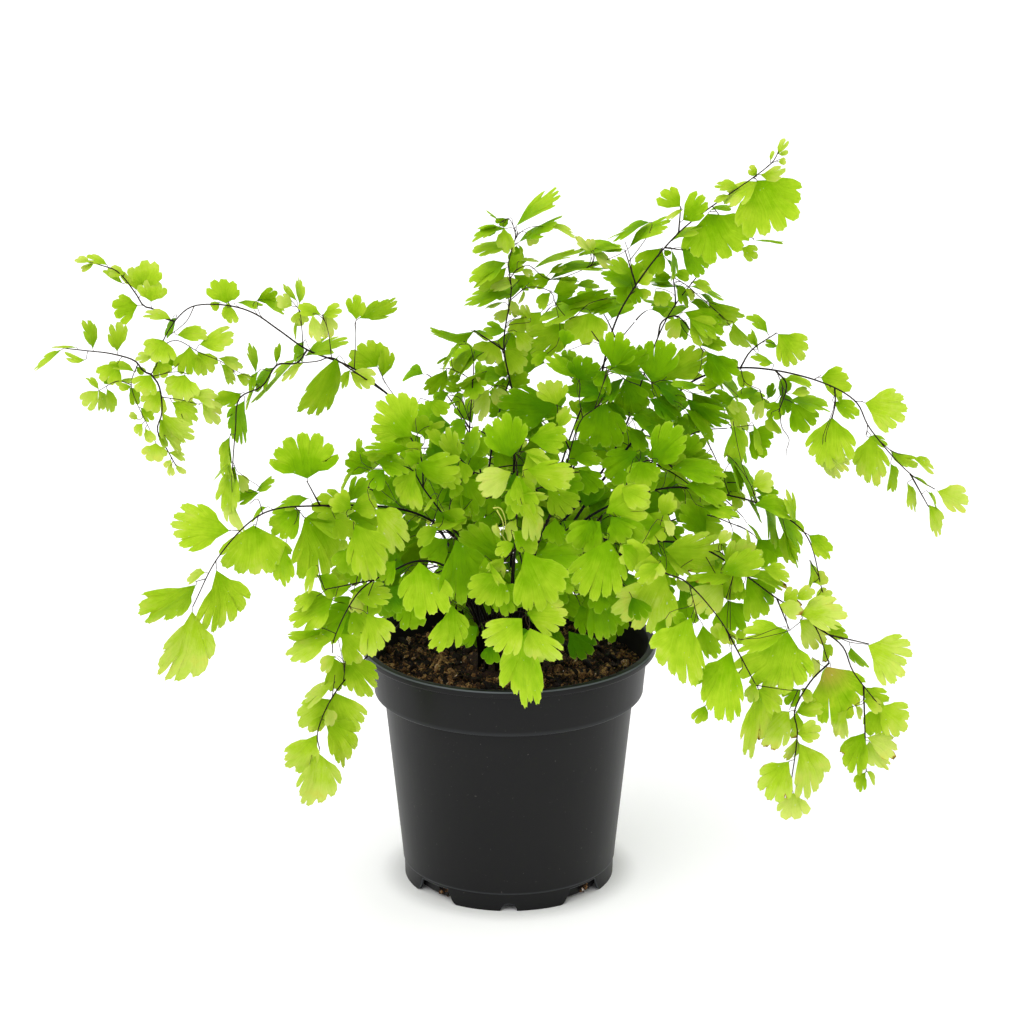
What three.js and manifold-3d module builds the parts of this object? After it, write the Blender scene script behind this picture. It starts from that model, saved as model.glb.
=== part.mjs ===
// A maidenhair fern growing in a round nursery pot, in millimetres, +Z up.
// The origin is on the ground, on the pot's axis. -Y is the front and +X is to the right.
// Each frond is one grown piece: its wiry stalk, the side stalks and the flat leaflets on them.
import * as THREE from "three";
import { mergeVertices } from "three/addons/utils/BufferGeometryUtils.js";
import Module from "manifold-3d";

const wasm = await Module();
wasm.setup();

// Pot: a moulded 12 cm nursery pot with a stacking collar, a rolled lip and a slotted foot ring.
const LIP_RADIUS = 60;
const POT_HEIGHT = 101;
const LIP_HEIGHT = 2.8;
const LIP_OVERHANG = 3.5;
const COLLAR_BOTTOM = 80.3;
const COLLAR_RADIUS = 55;
const WALL_TOP_RADIUS = 51;
const WALL_FOOT_RADIUS = 43.8;
const WALL = 1.3;
const FLOOR_UNDERSIDE = 7.2;
const FLOOR = 1.4;
const FOOT_RADIUS = 43.2;
const POT_SIDES = 36;
const FOOT_GAPS = 4;
const FOOT_GAP_TOP = 15;
const FOOT_GAP_GROUND = 24;
const FOOT_GAP_HEIGHT = 7;
const NOTCH_WIDTH = 7;
const NOTCH_HEIGHT = 2.8;
const DRAIN_RADIUS = 5;
const DRAIN_CIRCLE = 34;

// Potting mix and the rooted crown that the fronds rise from.
const GAP = 0.3;
const SOIL_EDGE = 89.5;
const SOIL_TOP = 91;
const CROWN_SIDES = 20;
const CROWN_RADIUS = 21;
const CROWN_BOTTOM = 82;
const CROWN_TOP = 92.7;

// Fronds: stalks are wiry, leaflets are thin plates that widen from their stalk.
const STALK_RADIUS = 0.8;
const SIDE_STALK_RADIUS = 0.55;
const STALK_STEP = 22;
const STALK_SIDES = 4;
const LEAF_THICKNESS = 0.7;
const LEAF_LENGTH = 0.95;
const SHOULDER = 0.6;
const FIRST_RISE = 7;
const SMALLEST_LEAF = 9;
const BIG_LEAF = 15;
const LEAF_CLEARANCE = 0.4;
const BARE_STALK = 0.35;
const FACE = [0, -0.82, 0.57];

// Fronds whose leaflets are placed one by one.
// stems: the main stalk's route, then the side stalks' routes, as [x, y, z].
// leaves: [x, z, width, heading, roll], the middle of each leaflet seen from the front, the
// direction it points in degrees from +X towards +Z, and its turn about that direction.
const PLACED_FRONDS = [
  {
    name: "frond_left_arch",
    stems: [
      [[-6, -1, 93], [-8, 3, 159], [-25, -4, 185], [-49, -11, 209], [-97, -11, 240],
       [-116, -11, 244], [-124, -12, 243], [-132, -16, 227]],
      [[-132, -16, 227], [-151, -16, 231], [-175, -16, 225]],
      [[-132, -16, 227], [-140, -20, 221], [-139, -20, 213], [-130, -20, 196], [-131, -20, 186]],
      [[-122, -12, 242], [-132, -7, 243], [-164, -7, 260]],
      [[-82, -11, 230], [-87, -19, 227], [-102, -24, 213], [-107, -24, 201], [-108, -24, 177]],
      [[-49, -11, 209], [-58, -27, 221], [-68, -27, 224], [-72, -27, 221]],
    ],
    leaves: [
      [-142, 253, 14, 100], [-149, 241, 9, -110], [-138, 239, 9, -95], [-162, 260, 5, 150],
      [-156, 256, 4, -120], [-155, 251, 4, -100], [-169, 262, 6, 175], [-163, 234, 5, 110],
      [-153, 235, 6, 100], [-169, 232, 5, 110], [-158, 219, 9, -100], [-149, 222, 10, -90],
      [-181, 224, 9, 190], [-169, 220, 6, -110], [-165, 207, 9, -100], [-156, 209, 7, -95],
      [-111, 250, 12, 100], [-125, 233, 10, -100], [-116, 232, 11, -80], [-137, 231, 10, -110],
      [-119, 222, 9, -60], [-108, 224, 8, -50], [-108, 218, 7, -70], [-102, 219, 6, -50],
      [-143, 215, 11, -150], [-129, 214, 13, -20], [-139, 206, 10, -140], [-118, 210, 9, -40],
      [-116, 203, 8, -50], [-127, 204, 10, -20], [-141, 201, 6, -160], [-130, 193, 12, -60],
      [-150, 213, 5, 190], [-146, 209, 5, 200], [-147, 200, 4, 200], [-144, 195, 4, 210],
      [-139, 186, 9, -120], [-136, 191, 6, -150], [-126, 187, 6, -40], [-129, 181, 5, -60],
      [-133, 179, 5, -110], [-101, 245, 9, 80], [-91, 246, 10, 70], [-81, 249, 7, 75],
      [-75, 239, 9, -30], [-110, 240, 5, -90], [-53, 243, 18, 75], [-59, 234, 5, 60],
      [-55, 230, 17, 80], [-47, 223, 6, 80], [-62, 215, 12, -150], [-70, 225, 10, 60],
      [-74, 215, 14, -100], [-85, 227, 14, 205], [-94, 222, 14, 212, 50], [-102, 215, 12, 220, 40],
      [-108, 205, 14, -98, 45], [-106, 195, 11, -75, 30], [-110, 186, 11, -105, 30],
      [-106, 177, 10, -70, 20], [-110, 169, 12, -95, 30], [-108, 163, 8, -85],
      [-81, 239, 11, -80, 40],
    ],
  },
  {
    name: "frond_left_low",
    stems: [
      [[-11, -5, 93], [-19, -14, 146], [-31, -24, 160], [-44, -34, 168], [-73, -43, 172],
       [-95, -50, 171], [-112, -54, 155], [-122, -62, 137]],
      [[-73, -43, 172], [-78, -46, 183]],
    ],
    leaves: [
      [-78, 193, 22, 95], [-83, 175, 11, -100], [-87, 167, 13, -80], [-95, 182, 12, 120],
      [-119, 167, 19, 150], [-95, 156, 22, -80], [-73, 156, 20, -50], [-121, 150, 8, 180],
      [-131, 139, 19, 190], [-112, 139, 16, -70], [-126, 122, 19, -105], [-61, 182, 12, 100],
      [-70, 166, 12, -60], [-93, 172, 6, -20], [-104, 153, 5, -60],
    ],
  },
  {
    name: "frond_left_drape",
    stems: [
      [[-12, -9, 93], [-19, -24, 133], [-31, -32, 130], [-52, -35, 111], [-69, -54, 97],
       [-75, -59, 83], [-74, -59, 76]],
    ],
    leaves: [
      [-74, 64, 19, -88], [-82, 76, 15, -140], [-67, 81, 16, -50], [-62, 92, 16, -50],
      [-76, 93, 13, -150], [-74, 101, 13, -150], [-70, 107, 10, -140], [-58, 103, 13, -40],
      [-61, 112, 13, -70],
    ],
  },
  {
    name: "frond_left_drape_b",
    stems: [
      [[-9, -12, 93], [-23, -38, 144], [-35, -51, 152], [-44, -62, 152], [-57, -76, 148],
       [-67, -81, 129], [-67, -81, 124]],
      [[-51, -70, 150], [-70, -76, 149]],
    ],
    leaves: [
      [-75, 140, 17, 200], [-77, 145, 10, 160], [-76, 151, 8, 150], [-69, 151, 12, -100],
      [-55, 146, 16, -15], [-57, 144, 9, -80], [-69, 136, 13, -110], [-78, 133, 11, 170],
      [-75, 126, 16, 190], [-58, 138, 9, -70], [-49, 133, 14, -50], [-64, 141, 11, -120],
      [-62, 160, 13, 60], [-45, 141, 13, -30],
    ],
  },
  {
    name: "frond_upper_stem",
    stems: [
      [[0, 8, 93], [2, 27, 161], [2, 27, 194], [-2, 27, 218], [1, 27, 241], [0, 27, 252],
       [4, 27, 266]],
      [[0, 27, 216], [-14, 24, 225]],
    ],
    leaves: [
      [11, 274, 20, 38, 64], [15, 264, 21, 8, 66], [-7, 262, 14, 150, 35], [-4, 257, 11, 190, 40],
      [1, 258, 9, 85, 55], [-6, 247, 17, 170, 40], [5, 251, 14, 20, 55], [-6, 238, 21, 198, 64],
      [13, 244, 15, 10, 50], [-22, 226, 16, 168, 60], [-14, 230, 7, 120], [-4, 218, 15, 200],
      [-6, 206, 12, 210], [4, 204, 11, 20], [15, 218, 21, 15], [2, 224, 10, 60], [8, 232, 11, 20],
      [-7, 195, 13, -110], [8, 192, 21, -10], [17, 199, 13, 30], [-13, 200, 12, 190],
    ],
  },
  {
    name: "frond_upper_left",
    stems: [
      [[-7, 4, 93], [-16, 16, 168], [-14, 16, 214]],
      [[-16, 16, 186], [-21, 16, 195]],
    ],
    leaves: [
      [-22, 220, 12, 55, 60], [-17, 214, 12, 50, 30], [-29, 206, 11, 225, 35], [-22, 204, 7, -80],
      [-29, 198, 11, 200], [-20, 198, 7, 200], [-14, 201, 10, -20], [-8, 205, 9, 10],
      [-21, 179, 10, 110], [-13, 179, 10, 70],
    ],
  },
  {
    name: "frond_right_high",
    stems: [
      [[3, 2, 93], [13, 11, 140], [23, 14, 165], [34, 14, 194], [41, 14, 226], [47, 14, 240],
       [67, 14, 267], [104, 14, 296], [106, 14, 300]],
      [[67, 14, 267], [68, 14, 278]],
      [[62, 14, 261], [69, 11, 261]],
      [[39, 14, 218], [33, 11, 228]],
      [[50, 14, 246], [46, 11, 261]],
    ],
    leaves: [
      [107, 301, 5, 60], [104, 298, 3, 110], [108, 295, 4, 10], [96, 292, 5, 140],
      [100, 294, 5, 80], [104, 292, 7, -15], [109, 280, 23, -42], [98, 278, 16, -95],
      [91, 283, 15, 205, 40], [86, 287, 9, 165, 40], [85, 280, 7, 180], [76, 276, 13, 170, 40],
      [65, 280, 11, 150, 20], [65, 275, 7, 200, 50], [87, 267, 24, -35], [77, 259, 17, -50],
      [71, 266, 12, 20, 55], [58, 257, 14, 140, 20], [56, 266, 16, 192, 60], [88, 260, 8, -40],
      [97, 260, 7, -30], [104, 264, 11, -5, 70], [49, 270, 16, 172, 60], [39, 263, 16, 190, 60],
      [32, 257, 11, 190, 60], [30, 253, 17, 188, 68], [25, 247, 11, 190, 55],
      [31, 242, 13, 185, 55], [25, 237, 11, 190, 45], [47, 245, 13, -100, 20],
      [40, 236, 17, 185, 62], [57, 255, 12, 60, 40], [32, 230, 16, 190, 40], [24, 225, 14, -110],
      [31, 213, 15, 100], [48, 219, 16, 80], [60, 218, 16, 30],
    ],
  },
  {
    name: "frond_right_mid_high",
    stems: [
      [[6, 7, 93], [17, 3, 143], [33, 11, 162], [45, 20, 180], [64, 34, 227], [80, 34, 250]],
      [[67, 34, 234], [67, 30, 240], [66, 30, 246]],
      [[61, 32, 220], [62, 30, 227], [68, 27, 230], [79, 27, 215]],
    ],
    leaves: [
      [61, 243, 6, 170], [60, 237, 7, 190], [55, 243, 7, 170], [64, 232, 7, 200], [66, 223, 8, -90],
      [74, 230, 12, 20], [80, 224, 15, -20], [88, 232, 12, 0], [94, 223, 12, -50],
      [82, 219, 11, -30], [84, 237, 11, -10], [72, 242, 8, 150], [77, 235, 8, -30],
      [75, 209, 17, -120], [84, 211, 11, -70], [81, 209, 7, -60], [89, 204, 10, -50],
      [94, 211, 8, 10], [91, 198, 11, -60], [69, 246, 7, 60],
    ],
  },
  {
    name: "frond_right_arch",
    stems: [
      [[9, 4, 93], [21, -1, 142], [41, 5, 172], [61, 11, 195], [75, 14, 207], [93, 14, 212],
       [122, 7, 209], [138, 0, 202], [144, 0, 191], [160, -7, 174], [171, -7, 167]],
      [[93, 14, 212], [97, 14, 219], [108, 14, 227]],
      [[129, 3, 205], [130, 0, 201], [129, 0, 195]],
      [[107, 11, 210], [111, 8, 207], [108, 5, 196]],
      [[160, -7, 174], [168, -7, 160]],
    ],
    leaves: [
      [100, 229, 8, 130], [113, 221, 13, -45], [98, 223, 5, 110], [105, 221, 5, -10],
      [101, 215, 8, 160], [132, 210, 13, 15], [115, 207, 11, -10], [134, 198, 10, -20],
      [148, 198, 16, -20], [130, 185, 19, -90], [128, 175, 8, -95], [134, 176, 7, -60],
      [145, 179, 15, -95], [153, 173, 9, -85], [157, 181, 9, -20], [165, 178, 8, -25],
      [164, 171, 6, -30], [162, 165, 7, -75], [171, 155, 9, -62], [177, 163, 11, -20],
      [169, 164, 4, -80], [118, 197, 16, -30], [119, 191, 7, -70], [104, 196, 8, -120],
      [106, 184, 6, -100],
    ],
  },
  {
    name: "frond_right_low",
    stems: [
      [[13, -9, 93], [20, -24, 141], [36, -32, 154], [56, -38, 156], [75, -40, 154],
       [104, -51, 137], [118, -59, 129], [124, -65, 115]],
      [[118, -59, 129], [129, -65, 122], [133, -68, 113], [143, -70, 100]],
      [[138, -70, 108], [139, -73, 73]],
      [[124, -62, 126], [139, -68, 124]],
      [[124, -65, 115], [116, -73, 110], [110, -78, 100], [111, -81, 93], [109, -81, 70]],
      [[104, -51, 137], [108, -68, 130]],
    ],
    leaves: [
      [148, 119, 17, -12], [136, 119, 9, -65], [130, 105, 20, -65], [141, 104, 9, -20],
      [147, 93, 16, -25], [131, 92, 10, -100], [139, 80, 17, -100], [146, 84, 10, -20],
      [137, 69, 5, -110], [142, 70, 5, -60], [121, 135, 16, 15], [119, 126, 11, -20],
      [127, 128, 7, -60], [122, 118, 6, -80], [119, 114, 7, -110], [109, 105, 9, -110],
      [115, 106, 7, -60], [116, 100, 11, 5], [103, 119, 29, -130], [98, 130, 18, 165],
      [100, 111, 15, -110], [115, 92, 10, 10], [108, 86, 8, -110], [116, 77, 18, -70],
      [104, 73, 14, -125], [110, 62, 12, -100], [103, 94, 17, -150], [92, 139, 13, -100],
      [103, 144, 11, -40], [110, 137, 12, 50], [93, 151, 15, 75], [101, 126, 12, 150],
    ],
  },
  {
    name: "frond_right_front",
    stems: [
      [[9, -12, 93], [20, -54, 147], [39, -65, 159], [55, -73, 160], [59, -76, 156], [67, -81, 154],
       [82, -89, 138], [84, -89, 132]],
      [[82, -89, 138], [94, -89, 115]],
    ],
    leaves: [
      [82, 118, 20, -105], [74, 104, 8, -140], [69, 130, 23, -100], [54, 143, 22, -112],
      [75, 156, 18, 190], [73, 146, 14, -120], [83, 144, 16, -60], [59, 135, 7, -110],
      [64, 139, 6, -70], [77, 136, 7, -80], [83, 136, 8, -80], [92, 112, 8, -110],
      [97, 101, 20, -98], [68, 166, 21, 40], [49, 160, 14, -140], [58, 154, 13, -60],
    ],
  },
  {
    name: "frond_right_side",
    stems: [
      [[13, -5, 93], [24, -14, 150], [44, -24, 168], [62, -20, 172], [72, -20, 172], [87, -20, 169],
       [98, -24, 167], [116, -34, 158], [124, -34, 133]],
      [[72, -20, 172], [82, -16, 173], [92, -16, 173]],
      [[44, -24, 168], [52, -16, 181], [62, -14, 181], [66, -14, 177]],
    ],
    leaves: [
      [101, 174, 10, 60], [103, 167, 11, -10], [109, 170, 10, 40], [123, 153, 9, -50],
      [123, 139, 6, 10], [118, 142, 6, -110], [124, 130, 6, -90], [102, 158, 13, -95],
      [111, 155, 15, -70], [91, 167, 8, -90], [78, 170, 18, 10], [82, 162, 12, -20],
      [74, 179, 19, 20], [64, 188, 15, 75], [73, 189, 11, 60], [53, 176, 15, -120],
      [44, 181, 18, 200], [71, 162, 11, -80], [79, 155, 12, -20], [86, 151, 6, -60],
      [90, 190, 13, -80], [98, 193, 6, -80], [86, 206, 16, -30], [95, 206, 12, -20],
      [81, 211, 13, 20], [67, 208, 15, 0], [49, 210, 18, 200], [60, 198, 14, -60],
      [75, 196, 14, -40],
    ],
  },
  {
    name: "frond_front_left",
    stems: [
      [[-5, -14, 93], [-18, -74, 155], [-26, -84, 159], [-31, -89, 157], [-36, -92, 152]],
    ],
    leaves: [
      [-32, 155, 18, -120], [-23, 118, 17, -95], [-44, 150, 13, 200], [-18, 158, 18, -100],
      [-12, 167, 21, 120], [-27, 170, 14, 160], [-44, 178, 17, 170], [-54, 174, 17, 200],
      [-39, 165, 13, 190],
    ],
  },
  {
    name: "frond_front_mid",
    stems: [
      [[0, -15, 93], [3, -81, 168], [5, -92, 166], [8, -101, 145]],
      [[3, -81, 168], [-5, -92, 162]],
    ],
    leaves: [
      [12, 160, 20, -65], [-2, 116, 17, -150], [15, 146, 16, -15], [7, 99, 26, -95],
      [19, 88, 14, -40], [-8, 141, 16, -110], [7, 170, 8, -60], [-2, 168, 8, 200], [19, 153, 10, 10],
    ],
  },
  {
    name: "frond_front_right",
    stems: [
      [[6, -13, 93], [12, -59, 155], [20, -70, 169], [27, -76, 175], [33, -81, 174], [37, -84, 169]],
    ],
    leaves: [
      [34, 161, 21, -110], [48, 165, 11, -20], [36, 146, 20, -80], [30, 173, 14, -120],
      [42, 176, 11, 20], [52, 176, 12, -10], [43, 186, 18, 60], [27, 186, 13, 110],
      [18, 159, 18, -150], [19, 181, 13, 150],
    ],
  },
  {
    name: "frond_centre",
    stems: [
      [[0, -9, 93], [3, -49, 168], [3, -51, 191], [0, -46, 203]],
      [[4, -51, 177], [8, -57, 182], [14, -59, 185]],
    ],
    leaves: [
      [-1, 200, 17, 92], [13, 200, 16, 30], [10, 189, 16, 20], [-6, 184, 15, -100],
      [9, 169, 12, -60], [18, 189, 16, 10], [4, 175, 10, -100], [-13, 177, 9, 200],
      [-5, 168, 9, -110], [14, 179, 12, -40],
    ],
  },
  {
    name: "frond_centre_left",
    stems: [
      [[-6, -6, 93], [-12, -15, 136], [-33, -40, 178], [-38, -40, 186], [-43, -40, 187],
       [-50, -43, 185], [-53, -43, 178]],
      [[-33, -40, 178], [-34, -38, 190], [-39, -35, 199]],
    ],
    leaves: [
      [-45, 206, 18, 128], [-34, 202, 11, 95], [-28, 204, 6, 20], [-47, 194, 13, 170],
      [-37, 192, 9, 100], [-58, 190, 14, 110], [-46, 187, 13, 0], [-28, 186, 17, 5],
      [-37, 178, 13, -95], [-49, 180, 13, -60], [-57, 172, 12, -150], [-28, 177, 12, -40],
      [-19, 180, 11, -80], [-23, 164, 13, -20], [-65, 174, 12, 190], [-46, 172, 12, -120],
    ],
  },
  {
    name: "frond_centre_right",
    stems: [
      [[5, -4, 93], [11, -24, 148], [19, -16, 166], [29, -8, 197], [34, -8, 201]],
      [[24, -11, 185], [19, -7, 196]],
    ],
    leaves: [
      [36, 193, 21, -90], [31, 208, 19, 170], [20, 186, 12, 150], [26, 178, 13, -40],
      [19, 196, 10, 150], [40, 177, 14, -30], [32, 185, 10, -60],
    ],
  },];

// Fronds that fill the middle and the back. Their side stalks alternate along the upper part of
// the stalk: pinnae of them, the lowest one reach long, with leaflets of the given width.
const FILL_FRONDS = [
  {
    name: "frond_fill_a",
    stems: [[[-5, 9, 93], [-8, 22, 140], [-14, 34, 172], [-24, 44, 190], [-30, 50, 196]]],
    pinnae: 7,
    reach: 34,
    leaflet: 17,
    face: [0, -0.82, 0.57],
  },
  {
    name: "frond_fill_b",
    stems: [[[-2, 3, 93], [-9, 14, 135], [-6, 28, 180], [4, 36, 210], [14, 42, 226]]],
    pinnae: 7,
    reach: 34,
    leaflet: 17,
    face: [0, -0.82, 0.57],
  },
  {
    name: "frond_fill_c",
    stems: [[[9, 8, 93], [17, 27, 150], [30, 34, 190], [42, 40, 212], [52, 44, 224]]],
    pinnae: 8,
    reach: 38,
    leaflet: 17,
    face: [0, -0.82, 0.57],
  },
  {
    name: "frond_fill_d",
    stems: [[[12, 6, 93], [32, 16, 140], [56, 22, 168], [76, 24, 182], [90, 24, 184]]],
    pinnae: 7,
    reach: 36,
    leaflet: 17,
    face: [0, -0.82, 0.57],
  },
  {
    name: "frond_fill_e",
    stems: [[[14, 0, 93], [36, 2, 128], [60, 4, 148], [78, 2, 154], [92, 0, 150]]],
    pinnae: 7,
    reach: 34,
    leaflet: 17,
    face: [0, -0.82, 0.57],
  },
  {
    name: "frond_fill_f",
    stems: [[[-10, 0, 93], [-26, 8, 128], [-44, 10, 150], [-56, 8, 156], [-66, 4, 152]]],
    pinnae: 6,
    reach: 28,
    leaflet: 17,
    face: [0, -0.82, 0.57],
  },
  {
    name: "frond_fill_g",
    stems: [[[3, -7, 93], [14, -20, 122], [26, -34, 138], [36, -46, 144], [44, -56, 140]]],
    pinnae: 5,
    reach: 26,
    leaflet: 18,
    face: [0, -0.82, 0.57],
  },
  {
    name: "frond_fill_h",
    stems: [[[-4, -10, 93], [-3, -26, 114], [-4, -44, 124], [-6, -60, 121]]],
    pinnae: 5,
    reach: 24,
    leaflet: 18,
    face: [0, -0.82, 0.57],
  },
  {
    name: "frond_back_a",
    stems: [[[-9, 9, 93], [-30, 33, 140], [-48, 54, 152], [-60, 69, 144], [-68, 79, 128]]],
    pinnae: 7,
    reach: 34,
    leaflet: 17,
    face: [-0.5, 0.5, 0.7],
  },
  {
    name: "frond_back_b",
    stems: [[[-5, 14, 93], [-16, 44, 150], [-24, 64, 166], [-32, 81, 156], [-36, 92, 136]]],
    pinnae: 7,
    reach: 36,
    leaflet: 17,
    face: [-0.2, 0.6, 0.75],
  },
  {
    name: "frond_back_c",
    stems: [[[0, 14, 93], [2, 46, 156], [6, 69, 176], [8, 85, 166], [10, 96, 146]]],
    pinnae: 7,
    reach: 36,
    leaflet: 17,
    face: [0, 0.6, 0.75],
  },
  {
    name: "frond_back_d",
    stems: [[[5, 13, 93], [22, 46, 150], [38, 64, 170], [50, 79, 160], [56, 89, 140]]],
    pinnae: 7,
    reach: 36,
    leaflet: 17,
    face: [0.2, 0.6, 0.75],
  },
  {
    name: "frond_back_e",
    stems: [[[10, 11, 93], [38, 35, 140], [62, 52, 160], [80, 64, 152], [92, 73, 132]]],
    pinnae: 7,
    reach: 36,
    leaflet: 17,
    face: [0.4, 0.5, 0.75],
  },
  {
    name: "frond_back_low",
    stems: [[[-2, 18, 93], [4, 48, 118], [0, 69, 112], [-4, 80, 92]]],
    pinnae: 5,
    reach: 28,
    leaflet: 17,
    face: [0, 0.8, 0.55],
  },];

const vector = (p) => new THREE.Vector3(p[0], p[1], p[2]);

// A closed three.js geometry as a solid that can be joined and cut.
function solid(geometry) {
  const bare = geometry.clone();
  bare.deleteAttribute("normal");
  bare.deleteAttribute("uv");
  const merged = mergeVertices(bare, 1e-4);
  const kept = [];
  for (let i = 0; i < merged.index.count; i += 3) {
    const [a, b, c] = [0, 1, 2].map((k) => merged.index.getX(i + k));
    if (a !== b && b !== c && c !== a) kept.push(a, b, c);
  }
  const mesh = new wasm.Mesh({
    numProp: 3,
    vertProperties: new Float32Array(merged.attributes.position.array),
    triVerts: new Uint32Array(kept),
  });
  return new wasm.Manifold(mesh);
}

// A solid's surface as a three.js geometry.
function surface(body) {
  const mesh = body.getMesh();
  const geometry = new THREE.BufferGeometry();
  const places = new Float32Array(mesh.numVert * 3);
  for (let v = 0; v < mesh.numVert; v += 1) {
    places.set(mesh.vertProperties.slice(v * mesh.numProp, v * mesh.numProp + 3), v * 3);
  }
  geometry.setAttribute("position", new THREE.BufferAttribute(places, 3));
  geometry.setIndex(new THREE.BufferAttribute(mesh.triVerts.slice(), 1));
  geometry.computeVertexNormals();
  return geometry;
}

// A round solid turned from [radius, height] points.
function turned(profile, sides) {
  const points = profile.map(([radius, height]) => new THREE.Vector2(radius, height));
  const geometry = new THREE.LatheGeometry(points, sides);
  geometry.rotateX(Math.PI / 2);
  return solid(geometry);
}

// An outline of [across, up] points pushed out along +Y from near to far, then turned about Z.
function radialPrism(outline, near, far, turn) {
  const shape = new THREE.Shape(outline.map(([across, up]) => new THREE.Vector2(across, up)));
  const geometry = new THREE.ExtrudeGeometry(shape, { depth: far - near, bevelEnabled: false });
  geometry.rotateX(Math.PI / 2);
  geometry.translate(0, far, 0);
  geometry.rotateZ(turn);
  return solid(geometry);
}

// Inner radius of the pot's wall and of its collar at a height.
const wallInside = (z) =>
  THREE.MathUtils.mapLinear(z, FLOOR_UNDERSIDE, COLLAR_BOTTOM, WALL_FOOT_RADIUS, WALL_TOP_RADIUS) -
  WALL;
const collarInside = (z) =>
  THREE.MathUtils.mapLinear(
    z,
    COLLAR_BOTTOM,
    POT_HEIGHT - LIP_HEIGHT,
    COLLAR_RADIUS,
    LIP_RADIUS - LIP_OVERHANG,
  ) - WALL;

// Foot ring, raised floor, tapered wall, shoulder, collar and rolled lip as one turned profile.
function potBody() {
  const lipBottom = POT_HEIGHT - LIP_HEIGHT;
  const floorTop = FLOOR_UNDERSIDE + FLOOR;
  return turned(
    [
      [0, FLOOR_UNDERSIDE],
      [FOOT_RADIUS - WALL, FLOOR_UNDERSIDE],
      [FOOT_RADIUS - WALL, 0],
      [FOOT_RADIUS, 0],
      [FOOT_RADIUS + 0.2, FLOOR_UNDERSIDE - 0.2],
      [WALL_FOOT_RADIUS, FLOOR_UNDERSIDE + 0.4],
      [WALL_TOP_RADIUS, COLLAR_BOTTOM],
      [COLLAR_RADIUS - 0.5, COLLAR_BOTTOM],
      [COLLAR_RADIUS, COLLAR_BOTTOM + 0.6],
      [LIP_RADIUS - LIP_OVERHANG, lipBottom],
      [LIP_RADIUS - 0.5, lipBottom],
      [LIP_RADIUS, lipBottom + 0.6],
      [LIP_RADIUS, POT_HEIGHT - 0.6],
      [LIP_RADIUS - 0.6, POT_HEIGHT],
      [LIP_RADIUS - 2.6, POT_HEIGHT],
      [collarInside(lipBottom), lipBottom - 0.6],
      [collarInside(COLLAR_BOTTOM), COLLAR_BOTTOM + WALL],
      [wallInside(COLLAR_BOTTOM), COLLAR_BOTTOM + WALL],
      [wallInside(floorTop), floorTop],
      [0, floorTop],
    ],
    POT_SIDES,
  );
}

// The pot: the turned body with wide gaps and small arches cut in the foot, and drain holes.
function pot() {
  let body = potBody();
  const gap = [
    [-FOOT_GAP_GROUND / 2, -1],
    [FOOT_GAP_GROUND / 2, -1],
    [FOOT_GAP_TOP / 2, FOOT_GAP_HEIGHT],
    [-FOOT_GAP_TOP / 2, FOOT_GAP_HEIGHT],
  ];
  const arch = [
    [-NOTCH_WIDTH / 2, -1],
    [NOTCH_WIDTH / 2, -1],
    [NOTCH_WIDTH / 2, NOTCH_HEIGHT - 1],
    [NOTCH_WIDTH / 2 - 1, NOTCH_HEIGHT],
    [1 - NOTCH_WIDTH / 2, NOTCH_HEIGHT],
    [-NOTCH_WIDTH / 2, NOTCH_HEIGHT - 1],
  ];
  for (let i = 0; i < FOOT_GAPS; i += 1) {
    const square = (i * 2 * Math.PI) / FOOT_GAPS;
    const corner = square + Math.PI / FOOT_GAPS;
    body = body.subtract(radialPrism(gap, FOOT_RADIUS - 5, FOOT_RADIUS + 3, corner));
    body = body.subtract(radialPrism(arch, FOOT_RADIUS - 5, FOOT_RADIUS + 3, square));
    const drill = new THREE.CylinderGeometry(DRAIN_RADIUS, DRAIN_RADIUS, 12, 12);
    drill.rotateX(Math.PI / 2);
    drill.translate(
      DRAIN_CIRCLE * Math.cos(corner),
      DRAIN_CIRCLE * Math.sin(corner),
      FLOOR_UNDERSIDE,
    );
    body = body.subtract(solid(drill));
  }
  return body;
}

// The crown: a squat rooted stock, flat on top, that the stalks stand on, or the room it takes
// with a margin around it.
function crown(margin) {
  return turned(
    [
      [0, CROWN_BOTTOM - margin],
      [CROWN_RADIUS * 0.55 + margin, CROWN_BOTTOM - margin],
      [CROWN_RADIUS * 0.9 + margin, CROWN_BOTTOM + 3 - margin],
      [CROWN_RADIUS + margin, CROWN_TOP - 3],
      [CROWN_RADIUS * 0.92 + margin, CROWN_TOP + margin],
      [0, CROWN_TOP + margin],
    ],
    CROWN_SIDES,
  );
}

// Potting mix that fills the pot to just under the lip, with room left for the crown.
function soil() {
  const bottom = FLOOR_UNDERSIDE + FLOOR + GAP;
  const fill = turned(
    [
      [0, bottom],
      [wallInside(bottom) - GAP, bottom],
      [wallInside(COLLAR_BOTTOM) - GAP, COLLAR_BOTTOM + WALL + GAP],
      [collarInside(COLLAR_BOTTOM) - GAP, COLLAR_BOTTOM + WALL + GAP],
      [collarInside(SOIL_EDGE) - GAP, SOIL_EDGE],
      [LIP_RADIUS / 2, SOIL_TOP],
      [0, SOIL_TOP],
    ],
    POT_SIDES,
  );
  return fill.subtract(crown(GAP));
}

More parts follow.
